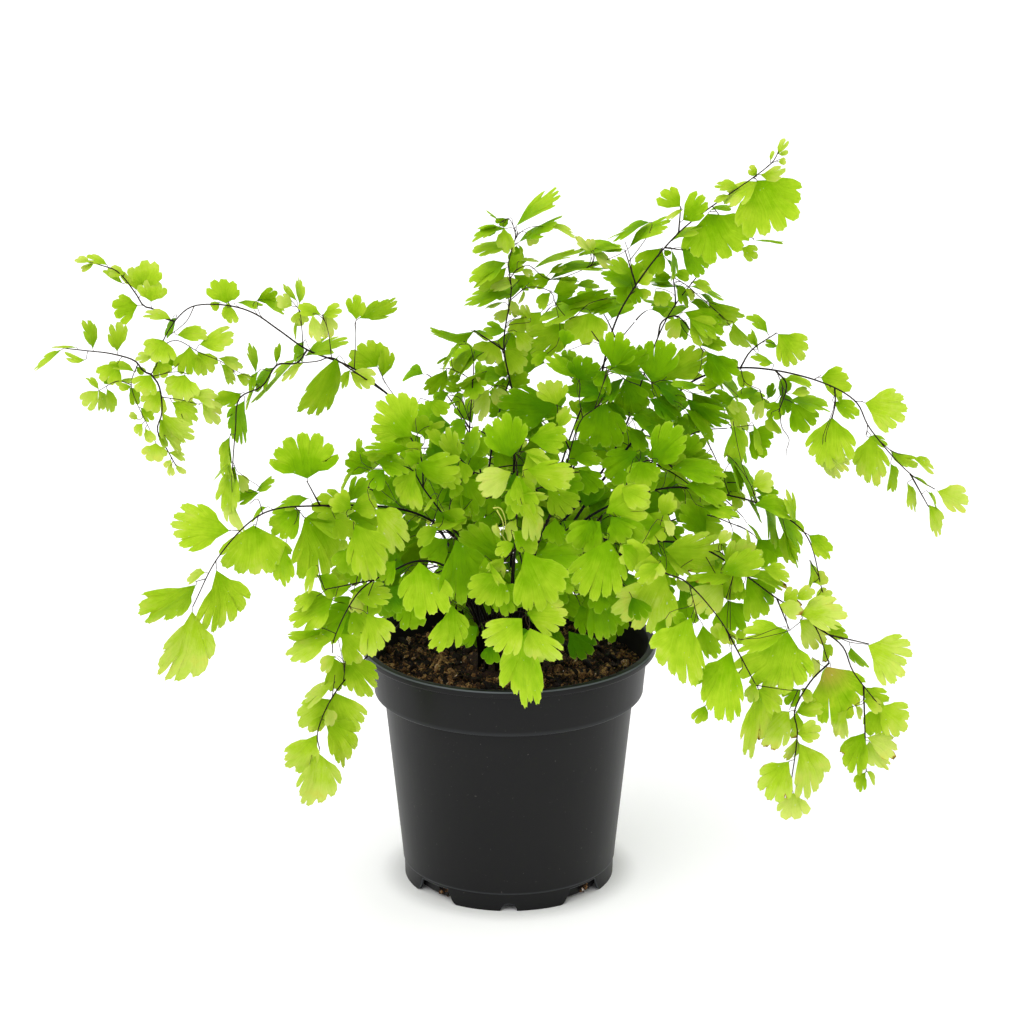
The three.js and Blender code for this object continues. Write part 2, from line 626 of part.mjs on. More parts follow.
// A stalk of even thickness along a route. It keeps the middle line that its facets follow.
function stalk(route, radius) {
  const curve = new THREE.CatmullRomCurve3(route.map(vector), false, "centripetal");
  const steps = Math.max(2, Math.round(curve.getLength() / STALK_STEP));
  const section = new THREE.Shape();
  for (let i = 0; i < STALK_SIDES; i += 1) {
    const turn = (i * 2 * Math.PI) / STALK_SIDES;
    const corner = [radius * Math.cos(turn), radius * Math.sin(turn)];
    if (i === 0) section.moveTo(...corner);
    else section.lineTo(...corner);
  }
  section.closePath();
  const path = { steps, extrudePath: curve, bevelEnabled: false };
  return {
    body: solid(new THREE.ExtrudeGeometry(section, path)),
    line: curve.getSpacedPoints(steps),
  };
}

// Points every millimetre or so along a polyline.
function closePoints(line) {
  const points = [];
  for (let i = 0; i + 1 < line.length; i += 1) {
    const count = Math.max(1, Math.round(line[i].distanceTo(line[i + 1])));
    for (let k = 0; k < count; k += 1) points.push(line[i].clone().lerp(line[i + 1], k / count));
  }
  points.push(line[line.length - 1].clone());
  return points;
}

// The point of a line that is nearest by the given measure, and how far away it is.
function nearest(points, measure) {
  let best = { index: 0, away: Infinity };
  points.forEach((point, index) => {
    const away = measure(point);
    if (away < best.away) best = { index, away };
  });
  return best;
}

// The stalks of a frond. The main one rises straight from the crown before it leans, and side
// stalks start on the middle of another.
function stalks(frond) {
  const [foot, ...rest] = frond.stems[0];
  const risen = [foot[0], foot[1], foot[2] + FIRST_RISE];
  const made = [stalk([foot, risen, ...rest], STALK_RADIUS)];
  frond.stems.slice(1).forEach((route) => {
    const start = vector(route[0]);
    const points = made.flatMap((one) => closePoints(one.line));
    const at = points[nearest(points, (p) => p.distanceTo(start)).index];
    made.push(stalk([at.toArray(), ...route.slice(1)], SIDE_STALK_RADIUS));
  });
  return made;
}

// Even pseudo-random numbers from -1 to 1 that depend only on the key.
function wander(key) {
  const x = Math.sin(key * 12.9898 + 4.1414) * 43758.5453;
  return 2 * (x - Math.floor(x)) - 1;
}

// A frame for a leaflet: along its length, facing as near to the given way as it can, rolled.
function leafFrame(along, face, roll) {
  const head = along.clone().normalize();
  const facing = face.clone().addScaledVector(head, -face.dot(head)).normalize();
  facing.applyAxisAngle(head, roll);
  return { head, facing, across: head.clone().cross(facing) };
}

// A leaflet or a whole pinna as a flat plate that widens from its root on the stalk.
function plate(root, frame, length, width, thickness) {
  const shoulder = length * SHOULDER;
  const outline = new THREE.Shape([
    new THREE.Vector2(0, 0),
    new THREE.Vector2(width / 2, shoulder),
    new THREE.Vector2(0, length),
    new THREE.Vector2(-width / 2, shoulder),
  ]);
  const geometry = new THREE.ExtrudeGeometry(outline, { depth: thickness, bevelEnabled: false });
  geometry.translate(0, 0, -thickness / 2);
  const place = new THREE.Matrix4().makeBasis(frame.across, frame.head, frame.facing);
  place.setPosition(root);
  geometry.applyMatrix4(place);
  return solid(geometry);
}

// The leaflets of a frond placed one by one: root on the nearest stalk, then out to the far edge.
function placedLeaves(frond, lines, seed) {
  const points = lines.map(closePoints);
  const found = [];
  frond.leaves.forEach(([x, z, width, heading, roll = 0], i) => {
    if (width < SMALLEST_LEAF) return;
    const turn = THREE.MathUtils.degToRad(heading);
    const length = LEAF_LENGTH * width;
    const baseX = x - (length / 2) * Math.cos(turn);
    const baseZ = z - (length / 2) * Math.sin(turn);
    const seen = (p) => Math.hypot(p.x - baseX, p.z - baseZ);
    const picks = points.map((line) => nearest(line, seen));
    const k = picks.reduce((a, b, j) => (b.away < picks[a].away ? j : a), 0);
    const back = Math.round(picks[k].away / 2);
    const root = points[k][Math.max(0, picks[k].index - back)];
    const key = seed * 97 + i;
    const depth = points[k][picks[k].index].y + 3.5 * wander(key);
    const tip = new THREE.Vector3(
      x + (length / 2) * Math.cos(turn),
      depth + 0.3 * length * wander(key + 0.3),
      z + (length / 2) * Math.sin(turn),
    );
    const along = tip.sub(root);
    const tilt = new THREE.Vector3(0.45 * wander(key + 0.5), 0, 0.45 * wander(key + 0.7));
    const side = wander(key + 0.9) > 0 ? 1 : -1;
    found.push({
      root,
      along,
      width,
      face: vector(FACE).normalize().add(tilt),
      roll: side * THREE.MathUtils.degToRad(roll),
    });
  });
  return found;
}

// The pinnae of a fill frond: flat sprays, left and right in turn, shorter towards the tip.
function grownLeaves(frond, line, seed) {
  const points = closePoints(line);
  const face = vector(frond.face).normalize();
  const found = [];
  for (let i = 0; i <= frond.pinnae; i += 1) {
    const share = i / frond.pinnae;
    const at = Math.round((points.length - 1) * (BARE_STALK + (1 - BARE_STALK) * share));
    const index = Math.min(points.length - 2, at);
    const root = points[index];
    const along = points[index + 1].clone().sub(points[Math.max(0, index - 1)]).normalize();
    const across = face.clone().addScaledVector(along, -face.dot(along)).normalize().cross(along);
    const key = seed * 97 + i * 7.3;
    const last = i === frond.pinnae;
    const spread = last ? 0 : THREE.MathUtils.degToRad(62 + 12 * wander(key));
    const side = i % 2 === 1 ? 1 : -1;
    const length = last
      ? frond.leaflet
      : frond.reach * (1 - 0.62 * share) * (1 + 0.15 * wander(key + 1)) + 0.5 * frond.leaflet;
    const way = along.multiplyScalar(Math.cos(spread));
    way.addScaledVector(across, side * Math.sin(spread));
    way.z -= 0.22;
    found.push({
      root,
      along: way.normalize().multiplyScalar(length),
      width: frond.leaflet * (last ? 1 : 1.4),
      face,
      roll: 0.3 * wander(key + 2),
    });
  }
  return found;
}

// True if two boxes come within the clearance of each other.
function boxesMeet(a, b) {
  return [0, 1, 2].every((k) => a.min[k] < b.max[k] + 1 && b.min[k] < a.max[k] + 1);
}

// True if the body overlaps any of the others.
function blocked(body, others) {
  const box = body.boundingBox();
  return others.some(
    (other) => boxesMeet(box, other.box) && body.intersect(other.body).volume() > 1e-6,
  );
}

// Ways to turn or trim a leaflet until it clears its neighbours: [roll, lift, size].
const TRIES = [
  [0, 0, 1],
  [0.35, 0, 1],
  [-0.35, 0, 1],
  [0, 0.25, 1],
  [0, -0.25, 1],
  [0.8, 0, 0.9],
  [-0.8, 0, 0.9],
  [0.35, 0.3, 0.8],
  [-0.35, -0.3, 0.8],
  [1.3, 0, 0.8],
  [-1.3, 0, 0.8],
  [0, 0, 0.6],
  [0.7, 0.3, 0.5],
  [-0.7, -0.3, 0.5],
];

// The first way of placing a leaflet that clears all the others, or nothing.
function clearLeaf(leaf, others) {
  for (const [roll, lift, size] of TRIES) {
    const frame = leafFrame(leaf.along, leaf.face, leaf.roll + roll);
    frame.head.applyAxisAngle(frame.across, lift);
    frame.facing.applyAxisAngle(frame.across, lift);
    const length = leaf.along.length() * size;
    const width = leaf.width * size;
    const test = plate(leaf.root, frame, length, width + 1, LEAF_THICKNESS + LEAF_CLEARANCE);
    if (!blocked(test, others)) return plate(leaf.root, frame, length, width, LEAF_THICKNESS);
  }
  return null;
}

const MATERIALS = {
  pot: new THREE.MeshStandardMaterial({ color: 0x2d2d2e, roughness: 0.45, metalness: 0 }),
  soil: new THREE.MeshStandardMaterial({ color: 0x3a281c, roughness: 0.95, metalness: 0 }),
  crown: new THREE.MeshStandardMaterial({ color: 0x3b2a20, roughness: 0.9, metalness: 0 }),
};

const group = new THREE.Group();

function addPiece(name, body, material) {
  const mesh = new THREE.Mesh(surface(body), material);
  mesh.name = name;
  group.add(mesh);
}

const boxed = (owner, body) => ({ owner, body, box: body.boundingBox() });

const potSolid = pot();
const soilSolid = soil();
const crownSolid = crown(0);
addPiece("pot", potSolid, MATERIALS.pot);
addPiece("soil", soilSolid, MATERIALS.soil);
addPiece("crown", crownSolid, MATERIALS.crown);

// All the stalks come first, so that every leaflet can keep clear of them.
const fronds = [...PLACED_FRONDS, ...FILL_FRONDS].map((frond, seed) => {
  const made = stalks(frond);
  const lines = made.map((one) => one.line);
  return { frond, seed, bodies: made.map((one) => one.body), lines };
});
const placed = [boxed("pot", potSolid), boxed("soil", soilSolid), boxed("crown", crownSolid)];
fronds.forEach(({ frond, bodies }) => {
  bodies.forEach((body) => placed.push(boxed(frond.name, body)));
});

fronds.forEach(({ frond, seed, bodies, lines }) => {
  const leaves = frond.leaves
    ? placedLeaves(frond, lines, seed)
    : grownLeaves(frond, lines[0], seed);
  const others = placed.filter((one) => one.owner !== frond.name);
  const own = [];
  let whole = bodies.reduce((a, b) => a.add(b));
  leaves.forEach((leaf) => {
    let body = clearLeaf(leaf, [...others, ...own]);
    if (!body && leaf.width > BIG_LEAF) body = clearLeaf(leaf, others);
    if (!body) return;
    whole = whole.add(body);
    own.push(boxed(frond.name, body));
  });
  placed.push(...own);
  const green = new THREE.Color().setHSL(0.25, 0.62, 0.34 + 0.04 * wander(seed));
  const leafy = new THREE.MeshStandardMaterial({ color: green, roughness: 0.6, metalness: 0 });
  addPiece(frond.name, whole, leafy);
});

export default group;
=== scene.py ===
"""A maidenhair fern in a round nursery pot.

Shapes are worked out in millimetres and put into meshes in metres. +Z is up, -Y is the front.
"""

import math

import bpy
import numpy as np
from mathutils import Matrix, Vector


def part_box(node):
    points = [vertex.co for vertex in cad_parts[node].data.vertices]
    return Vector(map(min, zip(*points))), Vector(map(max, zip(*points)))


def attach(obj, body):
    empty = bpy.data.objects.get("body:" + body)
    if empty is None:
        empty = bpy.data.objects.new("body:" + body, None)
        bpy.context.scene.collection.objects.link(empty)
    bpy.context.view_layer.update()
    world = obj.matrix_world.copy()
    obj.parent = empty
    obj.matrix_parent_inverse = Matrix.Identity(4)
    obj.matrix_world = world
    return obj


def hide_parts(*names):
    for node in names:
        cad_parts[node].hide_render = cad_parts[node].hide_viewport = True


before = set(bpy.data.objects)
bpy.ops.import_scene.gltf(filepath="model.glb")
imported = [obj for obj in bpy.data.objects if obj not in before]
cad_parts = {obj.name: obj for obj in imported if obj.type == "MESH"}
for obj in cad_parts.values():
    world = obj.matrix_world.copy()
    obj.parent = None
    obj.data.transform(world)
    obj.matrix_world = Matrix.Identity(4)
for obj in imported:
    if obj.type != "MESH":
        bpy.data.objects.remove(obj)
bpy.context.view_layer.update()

MM = 0.001
RANDOM = np.random.default_rng(7)
HIGH = 1
X, Z = 0, 2


def extent(node, end, axis):
    """The lowest place of a node along one axis, or with end HIGH the highest one, taken from the
    frame, in millimetres."""
    return round(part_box(node)[end][axis] / MM, 3)


# Camera: it stands in front, looks slightly down, and aims at the middle of the plant.
CAMERA_LENS = 113.55
CAMERA_SENSOR = 36.0
CAMERA_REACH = (0.05, 200.0)
CAMERA_DISTANCE = 1300.0
CAMERA_PITCH = math.radians(17.7)
CAMERA_AIM = np.array([1.3, 0.0, 155.7])

# Studio.
SUN_SOFTNESS = 60
SURROUND = 0.8
FLOOR_HALF_SIDE = 90000.0

# Pot: its outer size comes from the frame, and the rest are the solid model's own numbers. Only
# the base, the height of the foot's gaps, the notches and the roundings differ from it.
LIP_RADIUS = extent("pot", HIGH, X)
POT_HEIGHT = extent("pot", HIGH, Z)
LIP_HEIGHT = 2.8
LIP_OVERHANG = 3.5
COLLAR_BOTTOM = 80.3
COLLAR_RADIUS = 55.0
WALL_TOP_RADIUS = 51.0
WALL_FOOT_RADIUS = 43.8
WALL = 1.3
FLOOR_UNDERSIDE = 7.2
FLOOR = 1.4
BASE_UNDERSIDE = 0.8
FOOT_RADIUS = 43.2
FOOT_GAPS = 4
FOOT_GAP_TOP = 15.0
FOOT_GAP_GROUND = 24.0
NOTCH_WIDTH = 6.6
NOTCH_HEIGHT = 3.0
DRAIN_RADIUS = 5.0
DRAIN_CIRCLE = 34.0
POT_SIDES = 720
BASE_FLAT = 20
BASE_RADIUS = 40
FOOT_ROUND = 0.15
WALL_ROUND = 0.35
NECK_ROUND = 0.6
COLLAR_ROUND = 0.7
LIP_ROUND = 0.9
LIP_INNER_ROUND = 0.5

# Potting mix, its loose crumbs, and the crown.
GAP = 0.3
SOIL_EDGE = 89.5
SOIL_TOP = extent("soil", HIGH, Z)
SOIL_RADIUS = 55
LOOSE_CRUMBS = 1700
DRAIN_CRUMBS = 160
CROWN_RADIUS = extent("crown", HIGH, X)
CROWN_FOOT = 83
CROWN_TOP = extent("crown", HIGH, Z)

# Fronds. Thicknesses of stalks are radii.
FIRST_RISE = 7
BARE_STALK = 0.35
STALK_THICK = 0.8
STALK_FINE = 0.21
SIDE_STALK_THICK = 0.4
LEAF_STALK = 0.13
STALK_SIDES = 7
TENDRIL_THICK, TENDRIL_FINE = 0.3, 0.15
TWIG_THICK, TWIG_FINE = 0.34, 0.2
TWIG_STEPS = 12
TWIG_DROOP = 0.22
TWIG_SHORTENING = 0.62
LEAFLET_SPACING = 0.62

# Leaflets. A fan of spread 1 is FAN_WIDTH times as wide as it is long, and its width grows with
# its spread to the power FAN_GAIN. Falls, slits and teeth are shares of the leaflet's length.
FAN_WIDTH = 1.13
FAN_GAIN = 0.75
FAN_CLOSED, FAN_OPEN = 1.12, 1.4
FAN_SLIMMEST = 0.78
FORESHORTENING = 1.12
SIDE_FALL = 0.17
CORNER_FALL = 0.28
LOBE_BULGE = 0.13
SLIT_LEAST, SLIT_MORE = 0.09, 0.38
TOOTH_DEPTH = 0.028
TOOTHED_FROM = (9, 14)
MOST_TEETH = 3
FEWEST_LOBES, MOST_LOBES = 2, 7
LEAF_HALF_ANGLE = math.radians(51)
LEAF_HALF_THICKNESS = 0.09
INNER_RING = 0.55
TONES = 9
FACE = (0.0, -0.953, 0.304)
INNER_FACE = (0, -0.82, 0.57)
# the fronds that fill the middle get a deep green, partly their own colour and partly painted shade of
# the inside of the foliage
INNER_TONE_WITH_PAINTED_SHADE = (0.08, 0.25)
BACK_TONE = (0.4, 0.55)

# Fronds whose leaflets are placed one by one, in millimetres and degrees.
#
# These rows are a weak point, and no pattern to follow. A separate program wrote them from places
# read by eye: it worked out the depths, and which frond a leaflet of the middle belongs to. They
# don't come from the sizes above or from the frame, so they can't be reworked by changing those.
#
# stems: the main stalk's route, then the side stalks' routes, as (x, y, z).
# twigs: the routes of the finest stalks, each from a place on an earlier stalk.
# leaves: (x, y, z, length, width, heading, tone). The place is where the leaflet meets its own
# stalk. Length and width are as seen from the front, heading goes from +X towards +Z, and tone
# goes from 0, deep green, to 9, lime. Tone is partly the leaflet's own green and partly painted
# shade: leaflets that stand in shade deep in the foliage have low tones.
PLACED_FRONDS = [
    dict(
        name="left_arch",
        stems=[
            [(-6, -1, 93), (-8, 3, 159), (-25, -4, 185), (-49, -11, 209), (-62, -11, 219),
             (-79, -11, 226), (-90, -11, 234), (-100, -11, 241), (-110, -11, 244), (-123, -12, 244),
             (-128, -13, 241), (-135, -15, 231), (-138, -17, 221), (-140, -18, 218)],
            [(-130, -14, 238), (-135, -11, 239), (-139, -9, 242), (-143, -8, 243), (-146, -8, 248),
             (-153, -8, 257), (-158, -8, 259), (-165, -8, 261)],
            [(-140, -18, 218), (-143, -17, 219), (-146, -17, 223), (-155, -17, 226), (-165, -16, 227),
             (-174, -16, 228)],
            [(-140, -18, 218), (-137, -19, 214), (-136, -20, 203), (-138, -20, 196), (-134, -20, 187),
             (-131, -20, 181)],
            [(-79, -11, 226), (-83, -20, 223), (-90, -22, 223), (-96, -24, 215), (-105, -24, 210),
             (-107, -24, 197), (-109, -24, 177)],
            [(-49, -11, 209), (-62, -24, 222), (-69, -26, 227), (-74, -24, 225), (-83, -20, 223)],
        ],
        twigs=[
            [(-123, -12, 244), (-126, -12, 238), (-133, -12, 232)],
            [(-145, -17, 222), (-148, -17, 214), (-146, -17, 206), (-143, -17, 199), (-140, -17, 192),
             (-139, -17, 189)],
            [(-136, -15, 229), (-130, -15, 231), (-121, -15, 226), (-112, -15, 222), (-107, -15, 218)],
            [(-148, -17, 214), (-153, -17, 215), (-161, -17, 211)],
            [(-137, -19, 209), (-129, -19, 208), (-121, -19, 206)],
            [(-139, -18, 217), (-130, -18, 219), (-125, -18, 218)],
            [(-81, -11, 227), (-81, -11, 234), (-82, -11, 242), (-85, -11, 246)],
            [(-69, -26, 227), (-70, -26, 238), (-72, -26, 244)],
            [(-61, -11, 218), (-60, -11, 232), (-60, -11, 237)],
            [(-38, -8, 198), (-47, -8, 209), (-52, -8, 219)],
        ],
        leaves=[
            (-163, -10, 261, 6, 3, 168, 7), (-162, -8, 260, 5, 3, -149, 7),
            (-157, -6, 259, 8, 4, 154, 6), (-150, -8, 256, 6, 5, 172, 7), (-151, -8, 252, 8, 3, 143, 6),
            (-146, -6, 249, 9, 10, 90, 6), (-140, -9, 245, 8, 11, 85, 6),
            (-142, -8, 250, 10, 11, 77, 6), (-146, -3, 242, 9, 11, -170, 5),
            (-132, -13, 239, 10, 5, 168, 6), (-131, -3, 237, 8, 4, -121, 1),
            (-130, -11, 232, 11, 7, 2, 6), (-121, -14, 229, 13, 8, 11, 6),
            (-135, -15, 231, 7, 13, -109, 6), (-139, -18, 225, 6, 4, -172, 7),
            (-130, -9, 222, 6, 6, -172, 2), (-125, -13, 228, 11, 11, -94, 5),
            (-122, -13, 226, 10, 8, -62, 6), (-138, -15, 223, 7, 8, -64, 5),
            (-114, -12, 223, 10, 4, -21, 7), (-113, -11, 220, 9, 4, -56, 7),
            (-107, -12, 216, 6, 4, -31, 7), (-153, -16, 222, 9, 10, -121, 6),
            (-147, -14, 218, 9, 4, 162, 5), (-146, -14, 220, 4, 3, -39, 5),
            (-153, -17, 227, 11, 6, 94, 6), (-163, -13, 227, 11, 4, 100, 5),
            (-166, -15, 223, 8, 3, 162, 6), (-169, -15, 228, 9, 2, 180, 6),
            (-175, -14, 227, 13, 5, -143, 6), (-157, -10, 212, 3, 3, 149, 3),
            (-161, -15, 211, 6, 2, 133, 6), (-161, -17, 211, 8, 7, -135, 7),
            (-161, -16, 211, 8, 4, -79, 7), (-158, -14, 211, 9, 4, -77, 6),
            (-153, -14, 214, 6, 2, 4, 6), (-148, -17, 213, 5, 3, -175, 6),
            (-140, -19, 218, 8, 10, -119, 6), (-149, -15, 212, 7, 4, -63, 4),
            (-137, -17, 211, 9, 10, -114, 6), (-127, -15, 217, 9, 14, -109, 6),
            (-132, -19, 207, 11, 8, -35, 6), (-124, -20, 209, 11, 6, -11, 8),
            (-120, -21, 207, 9, 7, -51, 8), (-145, -13, 203, 6, 4, -45, 5),
            (-136, -20, 203, 15, 10, -43, 7), (-137, -19, 200, 9, 5, -71, 6),
            (-146, -16, 199, 4, 3, 141, 8), (-144, -18, 198, 5, 4, -114, 7),
            (-143, -18, 196, 6, 4, -62, 7), (-138, -20, 194, 6, 3, -58, 7),
            (-135, -21, 194, 9, 4, -47, 8), (-139, -18, 190, 7, 10, -92, 7),
            (-134, -21, 187, 7, 3, -24, 8), (-133, -21, 184, 4, 4, -117, 8),
            (-133, -22, 182, 4, 3, -92, 8), (-131, -21, 182, 5, 3, -51, 8),
            (-111, -4, 243, 9, 13, 96, 5), (-110, -6, 244, 8, 7, -89, 6),
            (-113, -10, 245, 4, 4, -146, 5), (-107, -3, 243, 9, 3, -8, 4), (-99, -3, 244, 8, 5, 20, 4),
            (-97, -5, 245, 10, 4, -30, 4), (-85, -8, 243, 6, 6, 149, 8), (-83, -8, 245, 8, 3, 126, 6),
            (-82, -8, 244, 10, 4, 89, 6), (-73, -18, 242, 9, 6, 161, 5), (-82, -7, 241, 6, 7, -91, 7),
            (-76, -22, 243, 10, 6, -73, 8), (-72, -22, 243, 9, 6, -75, 8), (-72, -22, 243, 7, 5, 14, 6),
            (-83, -5, 237, 8, 2, -97, 5), (-60, -6, 237, 9, 8, 84, 5), (-59, -4, 237, 16, 6, 28, 5),
            (-52, -3, 217, 11, 15, 125, 5), (-50, -3, 213, 11, 6, 85, 5),
            (-62, -18, 219, 10, 7, -36, 7), (-62, -19, 220, 7, 4, -114, 6),
            (-67, -18, 225, 24, 11, -115, 5), (-80, -9, 223, 16, 6, 24, 4),
            (-81, -2, 227, 9, 5, -110, 3), (-80, -19, 223, 10, 4, -141, 7),
            (-83, -12, 223, 23, 4, -135, 5), (-91, -17, 222, 8, 2, 83, 5),
            (-99, -16, 218, 11, 3, 106, 5), (-92, -15, 220, 11, 6, -128, 3),
            (-98, -17, 219, 8, 4, -112, 4), (-99, -19, 214, 10, 2, -113, 5),
            (-105, -17, 210, 10, 6, -159, 4), (-104, -13, 206, 17, 9, -103, 3),
            (-110, -16, 192, 17, 6, -92, 5), (-110, -16, 192, 12, 6, -99, 5),
            (-109, -21, 183, 10, 2, -135, 5), (-108, -20, 181, 19, 10, -101, 6),
            (-107, -21, 178, 7, 5, -55, 8), (-109, -20, 167, 13, 7, -84, 8),
            (-99, -17, 169, 10, 7, -165, 4), (-100, -18, 170, 9, 4, 34, 4),
        ],
    ),
    dict(
        name="left_low",
        stems=[
            [(-11, -5, 93), (-19, -14, 146), (-31, -24, 160), (-44, -34, 168), (-73, -43, 172),
             (-95, -50, 171), (-112, -54, 155), (-122, -62, 137)],
            [(-73, -43, 172), (-78, -46, 183)],
        ],
        twigs=[
            [(-95, -50, 171), (-97, -50, 177), (-100, -50, 175)],
            [(-83, -46, 172), (-79, -46, 168)],
            [(-97, -50, 170), (-98, -50, 165)],
            [(-103, -52, 164), (-108, -52, 165)],
            [(-113, -55, 153), (-113, -55, 150)],
            [(-117, -58, 147), (-121, -58, 146)],
            [(-73, -43, 172), (-63, -43, 171)],
        ],
        leaves=[
            (-87, -44, 156, 15, 9, -93, 5), (-62, -34, 171, 11, 8, 55, 4),
            (-63, -37, 166, 12, 9, -21, 3), (-78, -43, 183, 17, 24, 96, 4),
            (-78, -40, 174, 11, 6, -165, 4), (-81, -43, 170, 14, 12, -141, 4),
            (-94, -45, 172, 8, 3, -136, 4), (-108, -50, 164, 21, 19, 176, 5),
            (-99, -46, 165, 20, 26, -87, 5), (-79, -45, 168, 24, 19, -76, 5),
            (-79, -43, 167, 18, 10, -17, 5), (-63, -41, 171, 12, 12, 172, 5),
            (-121, -56, 144, 24, 12, -145, 6), (-117, -59, 150, 8, 5, -155, 7),
            (-113, -56, 150, 23, 15, -87, 6), (-122, -64, 136, 27, 19, -109, 7),
            (-13, -14, 148, 12, 12, -63, 2), (-27, -16, 141, 14, 10, -70, 2),
            (-51, -17, 141, 8, 8, -126, 2), (-43, -14, 174, 10, 9, -126, 2),
            (-47, -31, 152, 9, 9, -139, 3), (-22, 2, 135, 11, 8, -126, 1),
            (-54, -17, 179, 11, 10, 156, 3), (-55, -13, 174, 11, 10, -39, 2),
            (-24, -9, 169, 10, 9, -153, 2), (-22, -14, 151, 17, 10, -27, 2),
            (-23, -3, 146, 27, 18, -82, 1), (-23, -18, 150, 18, 10, -47, 2),
            (-19, 0, 116, 17, 6, -62, 1), (-61, -43, 171, 9, 9, 13, 4), (-61, -47, 172, 8, 9, 150, 5),
            (-67, -50, 169, 9, 10, -59, 5), (-37, 3, 158, 15, 8, 177, 1), (-42, -2, 153, 8, 6, -55, 1),
            (-44, 0, 130, 13, 11, -122, 1),
        ],
    ),
    dict(
        name="left_drape",
        stems=[
            [(-12, -9, 93), (-19, -24, 133), (-31, -32, 130), (-52, -35, 111), (-69, -54, 97),
             (-75, -59, 83), (-74, -59, 76)],
        ],
        twigs=[
            [(-64, -49, 101), (-64, -49, 110)],
            [(-69, -54, 97), (-68, -54, 106)],
        ],
        leaves=[
            (-73, -56, 90, 7, 5, -123, 6), (-66, -45, 120, 14, 12, -50, 5),
            (-64, -44, 109, 16, 11, -51, 5), (-69, -48, 111, 14, 9, -84, 5),
            (-68, -49, 112, 8, 5, -134, 7), (-68, -53, 103, 14, 6, -143, 7),
            (-68, -50, 97, 17, 15, -71, 6), (-70, -52, 95, 15, 12, -138, 6),
            (-71, -57, 93, 7, 5, -73, 8), (-72, -57, 88, 19, 15, -62, 6),
            (-75, -59, 83, 16, 12, -130, 7), (-75, -58, 75, 20, 17, -97, 7),
        ],
    ),
    dict(
        name="left_drape_b",
        stems=[
            [(-9, -12, 93), (-23, -38, 144), (-35, -51, 152), (-44, -62, 152), (-57, -76, 148),
             (-67, -81, 129), (-67, -81, 124)],
            [(-51, -70, 150), (-70, -76, 149)],
        ],
        twigs=[
            [(-65, -80, 132), (-71, -80, 135)],
            [(-60, -77, 143), (-60, -77, 141)],
            [(-58, -72, 150), (-57, -72, 160), (-61, -72, 164)],
            [(-70, -76, 149), (-72, -76, 155)],
            [(-51, -70, 150), (-54, -70, 143), (-54, -70, 137)],
        ],
        leaves=[
            (-60, -69, 148, 9, 6, -161, 5), (-53, -65, 142, 8, 6, -91, 4),
            (-67, -73, 144, 16, 13, -155, 5), (-73, -75, 146, 9, 6, -153, 6),
            (-73, -77, 159, 11, 5, -116, 6), (-73, -71, 153, 10, 8, -39, 4),
            (-71, -78, 134, 13, 5, -164, 5), (-61, -72, 138, 16, 10, -142, 4),
            (-67, -80, 130, 17, 10, -161, 7), (-61, -67, 163, 11, 10, -95, 4),
            (-57, -71, 163, 11, 7, -67, 6), (-61, -69, 146, 15, 8, -10, 5),
            (-59, -72, 147, 9, 6, -76, 7), (-60, -73, 139, 10, 8, -68, 5),
            (-54, -78, 140, 16, 12, -69, 6), (-48, -55, 143, 12, 12, -43, 1),
            (-41, -33, 141, 5, 4, -99, 3), (-48, -16, 123, 7, 6, -126, 2),
            (-43, -71, 159, 10, 8, -118, 3), (-44, -16, 124, 8, 7, -138, 2),
            (-34, -16, 128, 7, 6, -145, 2), (-38, -37, 131, 11, 10, -99, 3),
            (-16, -20, 117, 11, 5, -90, 2), (-58, -76, 175, 21, 17, -72, 5),
        ],
    ),
    dict(
        name="upper_stem",
        stems=[
            [(0, 8, 93), (2, 27, 161), (2, 27, 194), (-2, 27, 218), (1, 27, 241), (0, 27, 252),
             (4, 27, 266)],
            [(0, 27, 216), (-14, 24, 225)],
        ],
        twigs=[
            [(-1, 27, 214), (-4, 27, 218), (-8, 27, 220), (-15, 27, 224)],
            [(1, 27, 246), (3, 27, 249), (8, 27, 251), (13, 27, 247), (17, 27, 245), (27, 27, 248),
             (35, 27, 252)],
            [(0, 27, 237), (8, 27, 242), (17, 27, 240), (19, 27, 235), (25, 27, 229), (32, 27, 235),
             (41, 27, 238)],
            [(3, 27, 261), (3, 27, 266), (3, 27, 267)],
            [(3, 27, 265), (0, 27, 270), (-3, 27, 269)],
        ],
        leaves=[
            (35, 32, 257, 10, 5, 0, 4), (25, 30, 232, 9, 4, 21, 4), (1, 38, 221, 9, 9, -109, 3),
            (-1, 35, 202, 8, 6, 113, 3), (3, 32, 266, 21, 8, 39, 4), (4, 29, 260, 18, 5, 28, 4),
            (7, 29, 264, 6, 7, -40, 7), (14, 26, 267, 13, 3, -16, 6), (-4, 31, 268, 6, 1, 140, 4),
            (0, 33, 269, 5, 4, -153, 3), (-4, 35, 265, 7, 3, -166, 3), (-1, 32, 265, 14, 5, -161, 4),
            (-2, 29, 266, 10, 8, -79, 6), (0, 34, 258, 13, 7, -167, 5), (3, 36, 257, 7, 6, -103, 3),
            (4, 33, 258, 4, 2, -70, 5), (-1, 32, 251, 15, 7, -146, 5), (-1, 32, 249, 14, 7, -143, 5),
            (0, 33, 246, 9, 7, 51, 4), (4, 30, 252, 7, 2, 3, 7), (2, 36, 245, 10, 5, -24, 3),
            (4, 31, 244, 11, 6, -160, 7), (5, 32, 248, 5, 3, -23, 8), (0, 32, 238, 17, 9, -168, 4),
            (7, 38, 241, 12, 6, -153, 3), (6, 31, 240, 6, 2, -103, 7), (10, 30, 249, 20, 4, 20, 5),
            (17, 33, 244, 7, 6, -166, 4), (16, 29, 247, 7, 3, 26, 6), (17, 29, 245, 21, 5, 15, 4),
            (33, 27, 257, 8, 4, 141, 8), (34, 27, 257, 5, 4, 108, 8), (33, 28, 256, 9, 6, -27, 8),
            (46, 30, 257, 16, 5, -177, 4), (17, 29, 245, 10, 2, -7, 4), (18, 31, 239, 10, 6, 25, 4),
